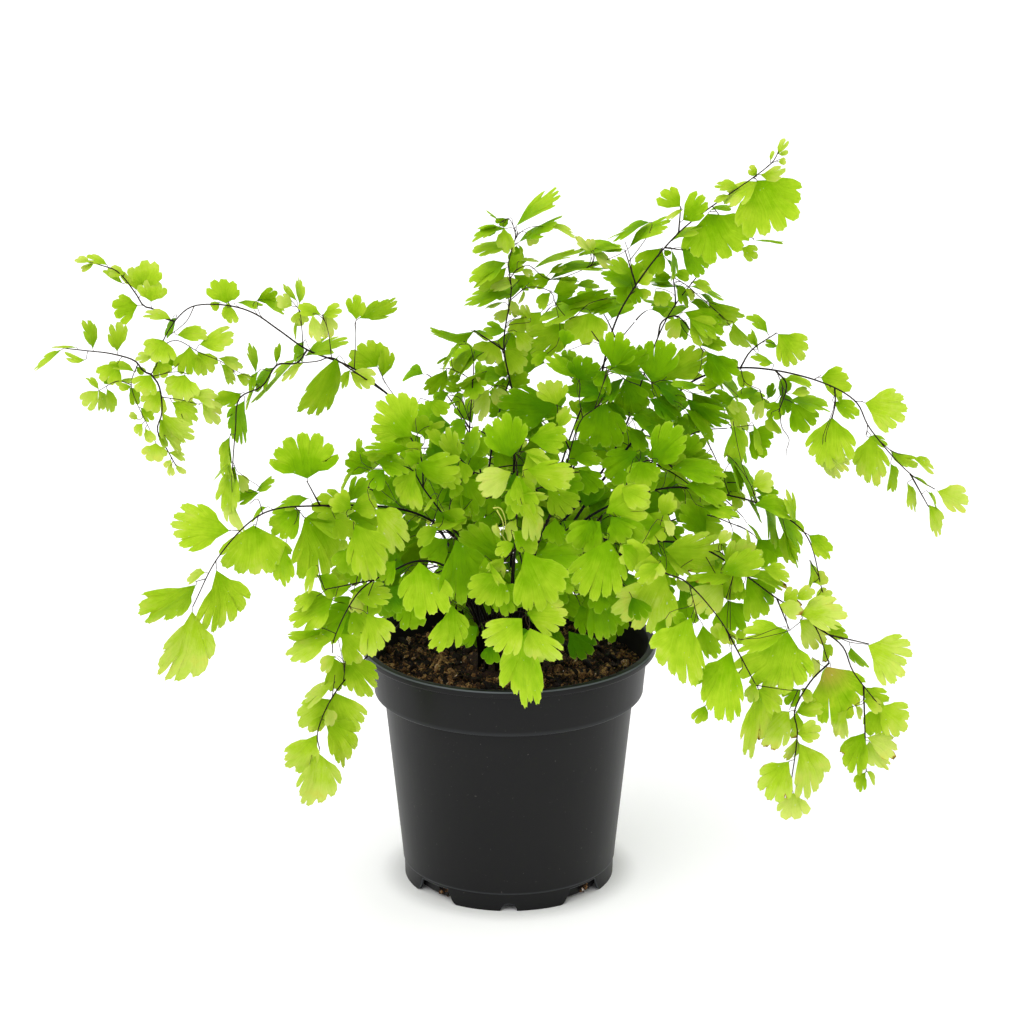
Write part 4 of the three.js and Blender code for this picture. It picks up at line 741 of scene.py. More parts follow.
FILL_FRONDS = [
    filling(
        "fill_a",
        [(-5, 9, 93), (-8, 22, 140), (-14, 34, 172), (-24, 44, 190), (-30, 50, 196)],
        pinnae=7, reach=28, leaflet=17,
    ),
    filling(
        "fill_b",
        [(-2, 3, 93), (-9, 14, 135), (-6, 28, 180), (4, 36, 210), (14, 42, 226)],
        pinnae=7, reach=26, leaflet=15,
    ),
    filling(
        "fill_c",
        [(9, 8, 93), (17, 27, 150), (30, 34, 190), (42, 40, 212), (52, 44, 224)],
        pinnae=8, reach=38, leaflet=17,
    ),
    filling(
        "fill_d",
        [(12, 6, 93), (32, 16, 140), (56, 22, 168), (76, 24, 182), (90, 24, 184)],
        pinnae=7, reach=26, leaflet=14,
    ),
    filling(
        "fill_e",
        [(14, 0, 93), (36, 2, 128), (60, 4, 148), (78, 2, 154), (92, 0, 150)],
        pinnae=7, reach=28, leaflet=17,
    ),
    filling(
        "fill_f",
        [(-10, 0, 93), (-26, 8, 128), (-44, 10, 150), (-56, 8, 156), (-66, 4, 152)],
        pinnae=6, reach=28, leaflet=17,
    ),
    filling(
        "fill_g",
        [(3, -7, 93), (14, -15, 122), (26, -26, 138), (36, -34, 144), (44, -42, 140)],
        pinnae=5, reach=12, leaflet=12,
    ),
    filling(
        "fill_h",
        [(-4, -10, 93), (-3, -20, 114), (-4, -33, 124), (-6, -45, 121)],
        pinnae=5, reach=10, leaflet=12,
    ),
    filling(
        "back_a",
        [(-9, 9, 93), (-30, 33, 140), (-48, 54, 152), (-60, 69, 144), (-68, 79, 128)],
        pinnae=7, reach=34, leaflet=17, tone=BACK_TONE, face=(-0.5, 0.5, 0.7),
    ),
    filling(
        "back_b",
        [(-5, 14, 93), (-16, 44, 150), (-24, 64, 166), (-32, 81, 156), (-36, 92, 136)],
        pinnae=7, reach=36, leaflet=17, tone=BACK_TONE, face=(-0.2, 0.6, 0.75),
    ),
    filling(
        "back_c",
        [(0, 14, 93), (2, 46, 156), (6, 69, 176), (8, 85, 166), (10, 96, 146)],
        pinnae=7, reach=36, leaflet=17, tone=BACK_TONE, face=(0, 0.6, 0.75),
    ),
    filling(
        "back_d",
        [(5, 13, 93), (22, 46, 150), (38, 64, 170), (50, 79, 160), (56, 89, 140)],
        pinnae=7, reach=36, leaflet=17, tone=BACK_TONE, face=(0.2, 0.6, 0.75),
    ),
    filling(
        "back_e",
        [(10, 11, 93), (38, 35, 140), (62, 52, 160), (80, 64, 152), (92, 73, 132)],
        pinnae=7, reach=36, leaflet=17, tone=BACK_TONE, face=(0.4, 0.5, 0.75),
    ),
    filling(
        "back_low",
        [(-2, 18, 93), (4, 48, 118), (0, 69, 112), (-4, 80, 92)],
        pinnae=5, reach=28, leaflet=17, tone=BACK_TONE, face=(0, 0.8, 0.55),
    ),
]


# ---------------------------------------------------------------- numbers and vectors


def unit(v):
    """Each vector divided by its length."""
    v = np.asarray(v, float)
    return v / np.maximum(np.linalg.norm(v, axis=-1, keepdims=True), 1e-9)


def dot(a, b):
    """Dot products of matching vectors, kept as a column."""
    return (a * b).sum(axis=-1, keepdims=True)


def wander(key):
    """Even pseudo-random numbers from -1 to 1: the fraction of a large sine of the key. What is
    added to a leaflet's key where this is called only picks a separate number for that use."""
    x = np.sin(np.asarray(key, float) * 12.9898 + 4.1414) * 43758.5453
    return 2 * (x - np.floor(x)) - 1


def column(values):
    """A list of numbers as a column that multiplies a list of vectors."""
    return np.asarray(values, float)[:, None]


def around(sides):
    """The angles of a number of even steps round a circle."""
    return np.arange(sides) * 2 * math.pi / sides


def ripples(x, y, waves, seed):
    """Soft noise from about -1 to 1: the mean of sines in random directions, all of them
    near the given wavelengths, which is cheap and the same on every run."""
    pick = np.random.default_rng(seed)
    total = np.zeros(np.broadcast(x, y).shape)
    for wave in waves:
        turn = pick.uniform(0, 2 * math.pi)
        phase = pick.uniform(0, 2 * math.pi)
        total += np.sin((x * math.cos(turn) + y * math.sin(turn)) * 2 * math.pi / wave + phase)
    return total / math.sqrt(len(waves))


# ---------------------------------------------------------------- meshes


class Shape:
    """Points, faces and what varies over them, gathered until they become one mesh."""

    def __init__(self):
        self.points, self.faces, self.finish, self.sharp, self.maps = [], [], [], [], {}
        self.count = 0

    def add(self, points, faces, finish=0, sharp=None, **maps):
        """Adds points of shape (..., 3) and lists of faces, with one value per point in each map
        and True in sharp for points on a sharp edge."""
        points = np.asarray(points, float).reshape(-1, 3)
        for group in faces:
            group = np.asarray(group).reshape(-1, np.shape(group)[-1]) + self.count
            self.faces += group.tolist()
            self.finish += [finish] * len(group)
        self.points.append(points)
        self.sharp.append(np.zeros(len(points), bool) if sharp is None else sharp.reshape(-1))
        for name in maps:
            self.maps.setdefault(name, []).append(
                (self.count, np.broadcast_to(maps[name], len(points)))
            )
        self.count += len(points)

    def build(self, name, materials, smooth=True):
        """The finished object, at the origin, with its place in its mesh."""
        mesh = bpy.data.meshes.new(name)
        mesh.from_pydata((np.vstack(self.points) * MM).tolist(), [], self.faces)
        for material in materials:
            mesh.materials.append(material)
        mesh.polygons.foreach_set("material_index", self.finish)
        mesh.polygons.foreach_set("use_smooth", [smooth] * len(mesh.polygons))
        corners = np.empty(len(mesh.loops), np.int32)
        mesh.loops.foreach_get("vertex_index", corners)
        varied = {title: np.zeros(self.count) for title in self.maps}
        for title, parts in self.maps.items():
            for start, part in parts:
                varied[title][start : start + len(part)] = part
            attribute = mesh.attributes.new(title, "FLOAT", "POINT")
            attribute.data.foreach_set("value", varied[title])
        if "across" in varied:
            flat = np.stack([varied["across"], varied["along"]], axis=1)
            mesh.uv_layers.new(name="blade").data.foreach_set("uv", flat[corners].ravel())
        edge = np.concatenate(self.sharp)
        if edge.any():
            ends = np.empty(len(mesh.edges) * 2, np.int32)
            mesh.edges.foreach_get("vertices", ends)
            mesh.edges.foreach_set("use_edge_sharp", edge[ends].reshape(-1, 2).all(axis=1))
        mesh.update()
        thing = bpy.data.objects.new(name, mesh)
        bpy.context.scene.collection.objects.link(thing)
        return thing


def grid_faces(rows, columns, wrap=False):
    """Quads between the points of a grid, stored row by row. With wrap, the last column joins the
    first one."""
    r = np.arange(rows - 1)[:, None]
    c = np.arange(columns if wrap else columns - 1)[None, :]
    nxt = (c + 1) % columns
    quads = np.stack(
        [r * columns + c, r * columns + nxt, (r + 1) * columns + nxt, (r + 1) * columns + c],
        axis=-1,
    )
    return quads.reshape(-1, 4)


def turned(radius, height, sides):
    """A surface of revolution: every row of radii and heights is a ring, and the first and last
    rings are closed by one point each on the axis. radius and height have one row per ring, and
    one column or one for each side. The rings run with the outside of the shape on their right,
    seen with the axis on the left and up at the top."""
    turn = around(sides)
    radius, height = np.asarray(radius, float), np.asarray(height, float)
    radius = radius.reshape(len(radius), -1) + np.zeros(sides)
    height = height.reshape(len(height), -1) + np.zeros(sides)
    points = np.stack([radius * np.cos(turn), radius * np.sin(turn), height], axis=-1)
    rings = len(points)
    first = [0, 0, height[0].mean()]
    last = [0, 0, height[-1].mean()]
    here = np.arange(sides)
    following = (here + 1) % sides
    start, end = rings * sides, rings * sides + 1
    tail = (rings - 1) * sides
    faces = [
        grid_faces(rings, sides, wrap=True),
        np.stack([np.full(sides, start), following, here], axis=-1),
        np.stack([np.full(sides, end), tail + here, tail + following], axis=-1),
    ]
    return np.vstack([points.reshape(-1, 3), first, last]), [group[:, ::-1] for group in faces]


def tubes(paths, radii, sides):
    """Round tubes of changing thickness along paths that all have the same number of points.
    Each ring stands square to its path, turned from the path's own sideways direction."""
    paths = np.asarray(paths, float)
    count, steps = paths.shape[:2]
    along = unit(np.gradient(paths, axis=1))
    side = unit(np.cross(along, unit([0.15, 1.0, 0.08])))
    up = np.cross(along, side)
    turn = around(sides)
    radii = np.broadcast_to(radii, (count, steps))[..., None, None]
    ring = side[:, :, None] * np.cos(turn)[:, None] + up[:, :, None] * np.sin(turn)[:, None]
    points = paths[:, :, None] + radii * ring
    one = steps * sides
    starts = (np.arange(count) * one)[:, None, None]
    walls = grid_faces(steps, sides, wrap=True)[:, ::-1] + starts
    caps = np.stack([np.arange(sides), one - 1 - np.arange(sides)]) + starts
    return points, [walls.reshape(-1, 4), caps.reshape(-1, sides)]


def spline(points, step=1.0, steps=24):
    """A centripetal Catmull-Rom curve through the points, worked out at steps places between two
    points and then given a point about every step.
    Knots are spaced by the square root of the distance, and the ends are carried on straight."""
    p = np.asarray(points, float)
    p = np.vstack([2 * p[0] - p[1], p, 2 * p[-1] - p[-2]])
    pieces = []
    for a, b, c, d in zip(p, p[1:], p[2:], p[3:]):
        k0, k1, k2 = [math.sqrt(np.linalg.norm(v)) for v in (b - a, c - b, d - c)]
        t1 = ((b - a) / k0 - (c - a) / (k0 + k1) + (c - b) / k1) * k1
        t2 = ((c - b) / k1 - (d - b) / (k1 + k2) + (d - c) / k2) * k1
        t = column(np.linspace(0, 1, steps, endpoint=False))
        pieces.append(
            b + t1 * t + (3 * (c - b) - 2 * t1 - t2) * t**2 + (2 * (b - c) + t1 + t2) * t**3
        )
    fine = np.vstack(pieces + [p[-2:-1]])
    run = np.concatenate([[0], np.cumsum(np.linalg.norm(np.diff(fine, axis=0), axis=1))])
    even = np.linspace(0, run[-1], max(3, int(run[-1] / step) + 1))
    return np.stack([np.interp(even, run, fine[:, k]) for k in range(3)], axis=1)


# ---------------------------------------------------------------- materials


def srgb(red, green, blue):
    """A colour given from 0 to 255 as screens show it, as the linear colour that shaders use."""
    c = np.array([red, green, blue]) / 255
    linear = np.where(c <= 0.04045, c / 12.92, ((c + 0.055) / 1.055) ** 2.4)
    return (*linear, 1.0)


class Value:
    """A number that varies over a surface. Arithmetic on it adds Math nodes."""

    def __init__(self, paint, socket):
        self.paint, self.socket = paint, socket

    def __add__(self, other):
        return self.paint.maths("ADD", self, other)

    def __sub__(self, other):
        return self.paint.maths("SUBTRACT", self, other)

    def __rsub__(self, other):
        return self.paint.maths("SUBTRACT", other, self)

    def __mul__(self, other):
        return self.paint.maths("MULTIPLY", self, other)

    __radd__ = __add__
    __rmul__ = __mul__

    def between(self, low, high):
        """0 below low, 1 above high, and a soft step in between."""
        return self.paint.node(
            "ShaderNodeMapRange",
            {"interpolation_type": "SMOOTHSTEP"},
            {"Value": self, "From Min": low, "From Max": high},
        )


class Paint:
    """One material. Every node but the shader's own comes from its method node."""

    def __init__(self, name):
        self.material = bpy.data.materials.new(name)
        self.material.use_nodes = True
        self.tree = self.material.node_tree
        self.tree.nodes.clear()

    def node(self, kind, settings=None, values=None, output=0):
        """Adds a node. Settings are set first, and a ramp's stops are (place, colour) pairs. Then
        each named or numbered socket gets a number, a colour or a link."""
        made = self.tree.nodes.new(kind)
        for key, setting in (settings or {}).items():
            if key == "stops":
                self.set_stops(made.color_ramp, setting)
            else:
                setattr(made, key, setting)
        for key, value in (values or {}).items():
            self.put(made.inputs[key], value)
        return Value(self, made.outputs[output])

    def put(self, socket, value):
        """Links a value to a socket, or sets the socket to a plain number or colour."""
        if isinstance(value, Value):
            self.tree.links.new(value.socket, socket)
        else:
            socket.default_value = value

    def set_stops(self, ramp, stops):
        """Gives a colour ramp its stops."""
        while len(ramp.elements) < len(stops):
            ramp.elements.new(0.5)
        for element, (place, colour) in zip(ramp.elements, stops):
            element.position, element.color = place, colour

    def maths(self, operation, first, second):
        """A Math node on two numbers."""
        return self.node("ShaderNodeMath", {"operation": operation}, {0: first, 1: second})

    def mix(self, share, first, second):
        """The first colour turned into the second one by a share from 0 to 1."""
        settings = {"data_type": "RGBA", "blend_type": "MIX", "clamp_factor": True}
        return self.node("ShaderNodeMix", settings, {0: share, 6: first, 7: second}, output=2)

    def place(self):
        """Object coordinates, in metres."""
        return self.node("ShaderNodeTexCoord", output=3)

    def stretched(self, vector, scale):
        """A vector multiplied by a scale for each axis."""
        return self.node("ShaderNodeVectorMath", {"operation": "MULTIPLY"}, {0: vector, 1: scale})

    def noise(self, vector, scale, detail=3.0, roughness=0.5):
        """Smooth noise from 0 to 1."""
        values = {"Vector": vector, "Scale": scale, "Detail": detail, "Roughness": roughness}
        return self.node("ShaderNodeTexNoise", {}, values)

    def attribute(self, name):
        """A number stored on the mesh."""
        return self.node("ShaderNodeAttribute", {"attribute_name": name}, output=2)

    def bump(self, height, strength, distance):
        """A normal tilted by a height in metres times distance."""
        values = {"Height": height, "Strength": strength, "Distance": distance}
        return self.node("ShaderNodeBump", {}, values)

    def finish(self, values, see_through=None):
        """The Principled shader with its sockets, mixed with light that comes through a thin
        leaf when see_through is (share, colour)."""
        shader = self.node("ShaderNodeBsdfPrincipled", {}, values)
        if see_through:
            share, colour = see_through
            glow = self.node("ShaderNodeBsdfTranslucent", {}, {"Color": colour})
            shader = self.node("ShaderNodeMixShader", {}, {0: share, 1: shader, 2: glow})
        output = self.tree.nodes.new("ShaderNodeOutputMaterial")
        self.tree.links.new(shader.socket, output.inputs["Surface"])
        return self.material


def pot_plastic():
    """Charcoal moulded plastic: satin, with faint clouding and flow lines, a little dust, painted
    highlights along its lip, seam and foot, and painted shade on the inside, tinted like soil."""
    paint = Paint("pot_plastic")
    place = paint.place()
    cloud = paint.noise(place, 28.0, 4.0)
    flow = paint.noise(paint.stretched(place, (420.0, 420.0, 26.0)), 1.0, 3.0)
    dust = paint.noise(place, 900.0, 2.0).between(0.7, 0.8)
    colour = paint.mix(cloud, srgb(13, 13, 14), srgb(20, 20, 21))
    colour = paint.mix(dust * 0.22, colour, srgb(120, 116, 110))
    inside = paint.attribute("inside")
    worn = paint.attribute("worn")
    # painted highlight: the lip, the seam under the collar and the edges of the foot and its gaps are
    # lightened to a bluish grey
    colour = paint.mix(worn, colour, srgb(104, 110, 114))
    # painted shade: the pot's inside is darkened to a near-black brown
    colour = paint.mix(inside, colour, paint.mix(cloud, srgb(5, 4, 3), srgb(20, 14, 9)))
    grain = paint.noise(place, 2600.0, 2.0)
    return paint.finish(
        {
            "Base Color": colour,
            "Roughness": 0.34 + cloud * 0.1 + flow * 0.06 + inside * 0.45 - worn * 0.1,
            "Normal": paint.bump(grain * 0.4 + flow * 0.6, 0.1, 0.0003),
            "Specular IOR Level": 0.18,
        }
    )


def potting_mix():
    """Crumbly peat: brown crumbs, with painted shade that turns the hollows of the bump near black,
    darkens the low places of the top and lightens its high ones, and paler fibres here and there.
    """
    paint = Paint("potting_mix")
    place = paint.place()
    crumbs = paint.noise(place, 620.0, 7.0, 0.8)
    patches = paint.noise(place, 75.0, 4.0, 0.6)
    fibres = paint.noise(paint.stretched(place, (500.0, 1900.0, 900.0)), 1.0, 3.0)
    height = paint.attribute("height")
    stops = [
        (0.0, srgb(5, 3, 2)),
        (0.42, srgb(20, 13, 7)),
        (0.58, srgb(88, 58, 28)),
        (0.8, srgb(186, 144, 92)),
    ]
    # painted shade: the hollows of the crumbs noise, which is also the bump, and the low places of the
    # top are darkened, the high places lightened
    shade = crumbs * 2.4 + patches * 1.1 + height * 0.45 - 1.5
    colour = paint.node("ShaderNodeValToRGB", {"stops": stops}, {"Fac": shade})
    colour = paint.mix(fibres.between(0.66, 0.74) * 0.5, colour, srgb(150, 108, 66))
    return paint.finish(
        {
            "Base Color": colour,
            "Roughness": 0.75 + crumbs * 0.2,
            "Normal": paint.bump(crumbs, 0.9, 0.0012),
            "Specular IOR Level": 0.3,
        }
    )


def bark_crumb():
    """Loose crumbs: each one has its own brown, from near-black peat to pale grit."""
    paint = Paint("bark_crumb")
    tone = paint.attribute("tone")
    grain = paint.noise(paint.place(), 1300.0, 5.0, 0.75)
    stops = [
        (0.0, srgb(8, 5, 3)),
        (0.4, srgb(36, 23, 12)),
        (0.7, srgb(118, 80, 42)),
        (0.88, srgb(184, 144, 94)),
        (0.97, srgb(240, 232, 222)),
    ]
    shade = tone + (grain - 0.5) * 1.5
    return paint.finish(
        {
            "Base Color": paint.node("ShaderNodeValToRGB", {"stops": stops}, {"Fac": shade}),
            "Roughness": 0.7 + grain * 0.25,
            "Normal": paint.bump(grain, 0.6, 0.0006),
            "Specular IOR Level": 0.3,
        }
    )


def crown_fibre():
    """The rootstock: dark brown, furred with upright fibres."""
    paint = Paint("crown_fibre")
    place = paint.place()
    fibre = paint.noise(paint.stretched(place, (1500.0, 1500.0, 260.0)), 1.0, 4.0, 0.65)
    colour = paint.mix(fibre.between(0.35, 0.75), srgb(24, 15, 11), srgb(86, 56, 38))
    return paint.finish(
        {
            "Base Color": colour,
            "Roughness": 0.85,
            "Normal": paint.bump(fibre, 0.9, 0.001),
            "Specular IOR Level": 0.25,
        }
    )


def leaflet_green():
    """Thin leaflets: tone picks the green, partly their own and partly painted shade, fine veins fan
    out from the stalk, the margin is paler, and scorched tips turn brown."""
    paint = Paint("leaflet_green")
    blade = paint.node("ShaderNodeUVMap", {"uv_map": "blade"})
    place = paint.place()
    tone = paint.attribute("tone")
    rim = paint.attribute("rim")
    scorch = paint.attribute("scorch")
    mottle = paint.noise(place, 150.0, 4.0, 0.6)
    veins = paint.noise(paint.stretched(blade, (70.0, 1.2, 1.0)), 1.0, 3.0, 0.6)
    along = paint.node("ShaderNodeSeparateXYZ", {}, {"Vector": blade}, output=1)
    stops = [
        (0.0, srgb(78, 142, 2)),
        (0.35, srgb(140, 192, 6)),
        (0.65, srgb(194, 226, 48)),
        (1.0, srgb(238, 248, 128)),
    ]
    rust = tone.between(1.1, 1.16)
    # painted shade in part: low tones darken leaflets that stand deep in the foliage
    shade = tone - rust * 0.7 + (mottle - 0.5) * 0.6 + (veins - 0.5) * 0.4 + along * 0.36 - 0.22
    colour = paint.node("ShaderNodeValToRGB", {"stops": stops}, {"Fac": shade})
    specks = paint.noise(place, 620.0, 1.0).between(0.76, 0.8)
    colour = paint.mix(specks * 0.6, colour, srgb(226, 238, 190))
    margin = rim.between(0.86, 1.0)
    colour = paint.mix(margin * 0.4, colour, srgb(204, 226, 90))
    ageing = mottle.between(0.48, 0.68) * along.between(0.3, 1.0) * tone.between(0.45, 0.8)
    colour = paint.mix(ageing * 0.6, colour, srgb(226, 222, 66))
    stain = rust * (1 - along).between(0.35, 1.0) * (veins * 0.7 + 0.3)
    colour = paint.mix(stain, colour, srgb(228, 172, 92))
    burnt = paint.noise(place, 190.0, 2.0) + scorch * rim
    colour = paint.mix(burnt.between(1.12, 1.25), colour, srgb(186, 132, 56))
    colour = paint.mix(burnt.between(1.22, 1.34), colour, srgb(74, 42, 20))
    return paint.finish(
        {
            "Base Color": colour,
            "Roughness": 0.5 + mottle * 0.15,
            "Normal": paint.bump(veins * 0.4 + mottle, 0.7, 0.0011),
            "Specular IOR Level": 0.06,
        },
        see_through=(0.32, srgb(206, 232, 14)),
    )


def stalk_black():
    """Wiry stalks: glossy near-black, browner where they are fine, and the pale tendrils."""
    paint = Paint("stalk_black")
    fine = paint.attribute("fine")
    streak = paint.noise(paint.place(), 300.0, 2.0)
    colour = paint.mix(fine + (streak - 0.5) * 0.4, srgb(9, 5, 4), srgb(62, 44, 30))
    colour = paint.mix(fine.between(1.5, 2.0), colour, srgb(218, 220, 104))
    return paint.finish(
        {"Base Color": colour, "Roughness": 0.42 + streak * 0.12, "Specular IOR Level": 0.12}
    )


def studio_floor():
    """A plain white studio floor, a little brighter than the light makes it, with a painted shadow
    round the pot: its glow fades out towards the pot and is off under it."""
    paint = Paint("studio_floor")
    white = (0.93, 0.93, 0.93, 1.0)
    far = paint.node("ShaderNodeVectorMath", {"operation": "LENGTH"}, {0: paint.place()}, output=1)
    # painted shadow: the floor's glow is off within 44 mm of the middle and fades in out to 56 mm
    glow = paint.mix(far.between(0.044, 0.056), (0.0, 0.0, 0.0, 1.0), (1.0, 1.0, 1.0, 1.0))
    light = {"Emission Color": glow, "Emission Strength": 0.22}
    return paint.finish({"Base Color": white, "Roughness": 0.9, **light})


# ---------------------------------------------------------------- pot


def arc(centre, radius, start, end, steps):
    """Points (r, z) on a circle from one angle to another, in degrees from +r towards +z."""
    turn = np.radians(np.linspace(start, end, steps))
    return [(centre[0] + radius * math.cos(t), centre[1] + radius * math.sin(t)) for t in turn]


def foot_height(turn):
    """Height of the foot ring's lower edge around the pot: four wide gaps with sloping ends at
    the corners, and a small arch in the middle of each foot."""
    quarter = math.pi / 2
    corner = np.abs((turn % quarter) - quarter / 2) * FOOT_RADIUS
    middle = np.abs((turn + quarter / 2) % quarter - quarter / 2) * FOOT_RADIUS
    slope = (FOOT_GAP_GROUND / 2 - corner) / (FOOT_GAP_GROUND / 2 - FOOT_GAP_TOP / 2)
    gap = (FLOOR_UNDERSIDE - 1) * np.clip(slope, 0, 1) ** 2.2
    inside = np.clip(1 - (middle / (NOTCH_WIDTH / 2)) ** 2, 0, 1)
    return np.maximum(gap, NOTCH_HEIGHT * inside**0.5)


def wall_inside(z):
    """Inner radius of the pot's tapered wall."""
    share = (z - FLOOR_UNDERSIDE) / (COLLAR_BOTTOM - FLOOR_UNDERSIDE)
    return WALL_FOOT_RADIUS + share * (WALL_TOP_RADIUS - WALL_FOOT_RADIUS) - WALL


def collar_inside(z):
    """Inner radius of the pot's collar."""
    share = (z - COLLAR_BOTTOM) / (POT_HEIGHT - LIP_HEIGHT - COLLAR_BOTTOM)
    return COLLAR_RADIUS + share * (LIP_RADIUS - LIP_OVERHANG - COLLAR_RADIUS) - WALL


def base_profile():
    """The pot's underside, from near the axis to the inside of the foot ring, as (r, z)."""
    return [
        (BASE_FLAT, BASE_UNDERSIDE),
        (BASE_RADIUS - 0.8, BASE_UNDERSIDE),
        (BASE_RADIUS, BASE_UNDERSIDE + 0.8),
        (BASE_RADIUS + 0.3, FLOOR_UNDERSIDE - 0.4),
        (BASE_RADIUS + 0.8, FLOOR_UNDERSIDE),
        (FOOT_RADIUS - WALL, FLOOR_UNDERSIDE),
    ]


def foot_profile():
    """The foot ring's lower edge, whose rings rise in its gaps, as (r, z)."""
    ring_inside = FOOT_RADIUS - WALL
    edge = [(ring_inside, 0.0), (ring_inside + FOOT_ROUND, 0.0), (FOOT_RADIUS - FOOT_ROUND, 0.0)]
    return edge + [(FOOT_RADIUS, FOOT_ROUND), (FOOT_RADIUS, 0.4)]


def outer_profile():
    """The pot's outside, from above the foot's edge over the rolled lip, as (r, z)."""
    lip_bottom, lip_ring = POT_HEIGHT - LIP_HEIGHT, LIP_RADIUS - LIP_OVERHANG
    foot_z, collar_z = FLOOR_UNDERSIDE, COLLAR_BOTTOM
    outer = [(FOOT_RADIUS + 0.2, foot_z - 0.3), (FOOT_RADIUS + 0.25, foot_z)]
    outer += arc((WALL_FOOT_RADIUS - WALL_ROUND, foot_z + 0.6), WALL_ROUND, -60, 0, 4)
    outer += [(WALL_FOOT_RADIUS + 0.04, foot_z + 1.1), (WALL_FOOT_RADIUS + 0.5, foot_z + 6)]
    outer += [(WALL_TOP_RADIUS, collar_z - 0.9)]
    outer += arc((WALL_TOP_RADIUS + NECK_ROUND, collar_z - NECK_ROUND), NECK_ROUND, 180, 90, 4)
    outer += arc((COLLAR_RADIUS - COLLAR_ROUND, collar_z + COLLAR_ROUND), COLLAR_ROUND, -90, 0, 7)
    outer += [(COLLAR_RADIUS + 0.05, collar_z + 2), (lip_ring, lip_bottom - 0.7)]
    outer += arc((lip_ring + NECK_ROUND, lip_bottom - NECK_ROUND), NECK_ROUND, 180, 90, 4)
    outer += arc((LIP_RADIUS - NECK_ROUND, lip_bottom + NECK_ROUND), NECK_ROUND, -90, 0, 6)
    outer += arc((LIP_RADIUS - LIP_ROUND, POT_HEIGHT - LIP_ROUND), LIP_ROUND, 0, 90, 7)
    return outer + arc((LIP_RADIUS - 2.6, POT_HEIGHT - LIP_INNER_ROUND), LIP_INNER_ROUND, 90, 180, 5)


def inner_profile():
    """The pot's inside, from under the lip down to the floor's top, as (r, z)."""
    lip_bottom, floor_top = POT_HEIGHT - LIP_HEIGHT, FLOOR_UNDERSIDE + FLOOR
    return [
        (collar_inside(lip_bottom) + 0.3, lip_bottom - 0.8),
        (collar_inside(COLLAR_BOTTOM), COLLAR_BOTTOM + WALL + 0.4),
        (wall_inside(COLLAR_BOTTOM), COLLAR_BOTTOM + WALL),
        (wall_inside(floor_top), floor_top),
        (BASE_FLAT, floor_top),
    ]


def painted_highlight_edges(profile, rim_rings, foot):
    """How much painted highlight each point of the pot gets: its lip, the seam under its collar, the
    edge over its foot, and the rims of the foot's gaps."""
    out, up = profile.T
    lip_edge = (out > LIP_RADIUS - 0.5) & (up > POT_HEIGHT - 0.5)
    seam_edge = (out > COLLAR_RADIUS - 0.5) & (up < COLLAR_BOTTOM + 0.75) & (up > COLLAR_BOTTOM)
    foot_edge = (out > WALL_FOOT_RADIUS - 0.2) & (up < FLOOR_UNDERSIDE + 0.7)
    worn = column(0.65 * lip_edge + 0.1 * seam_edge + 0.16 * foot_edge) + np.zeros(len(foot))
    worn[rim_rings] += 0.4 * (foot > 0.3)
    return worn


def pot(material):
    """The pot as one turned profile, from the floor's underside over the lip to the floor's top.
    The foot's rings follow the height of the foot's lower edge, which cuts its gaps."""
    foot = foot_height(around(POT_SIDES))
    low, edge, inner = base_profile(), foot_profile(), inner_profile()
    profile = np.array(low + edge + outer_profile() + inner)
    radius, height = profile[:, :1], profile[:, 1:] + np.zeros(POT_SIDES)
    above = len(low) + len(edge)
    height[len(low) : above] += foot
    height[above] = np.maximum(height[above], foot + 0.5)
    points, faces = turned(radius, height, POT_SIDES)
    # painted shade on the pot's inside
    painted_shade_inside = np.zeros(len(profile))
    painted_shade_inside[-len(inner) :] = 1
    inside = np.append(np.repeat(painted_shade_inside, POT_SIDES), [0, 1])
    # painted highlights on the lip, the seam under the collar and the foot's edges
    worn = np.append(painted_highlight_edges(profile, slice(above - 3, above - 1), foot), [0, 0])
    shape = Shape()
    shape.add(points, faces, inside=inside, worn=worn)
    return drained(shape.build("nursery_pot", [material]))


def drained(body):
    """The pot with a round drain hole cut in its floor beside each gap in the foot."""
    turn = around(FOOT_GAPS) + math.pi / FOOT_GAPS
    middle = np.stack([np.cos(turn), np.sin(turn), np.zeros(FOOT_GAPS)], axis=1) * DRAIN_CIRCLE
    paths = np.linspace(middle - [0, 0, 1], middle + [0, 0, 12], 3, axis=1)
    shape = Shape()
    shape.add(*tubes(paths, DRAIN_RADIUS, 32))
    drills = shape.build("drills", [])
    cut = body.modifiers.new("drain_holes", "BOOLEAN")
    cut.object, cut.operation, cut.solver = drills, "DIFFERENCE", "EXACT"
    ready = body.evaluated_get(bpy.context.evaluated_depsgraph_get())
    mesh = bpy.data.meshes.new_from_object(ready)
    body.modifiers.clear()
    body.data = mesh
    bpy.data.objects.remove(drills)
    return body


# ---------------------------------------------------------------- potting mix and crown


def mound(radius):
    """Height of the mix's low mound at a distance from the axis."""
    return SOIL_TOP - (SOIL_TOP - SOIL_EDGE) * (radius / SOIL_RADIUS) ** 2


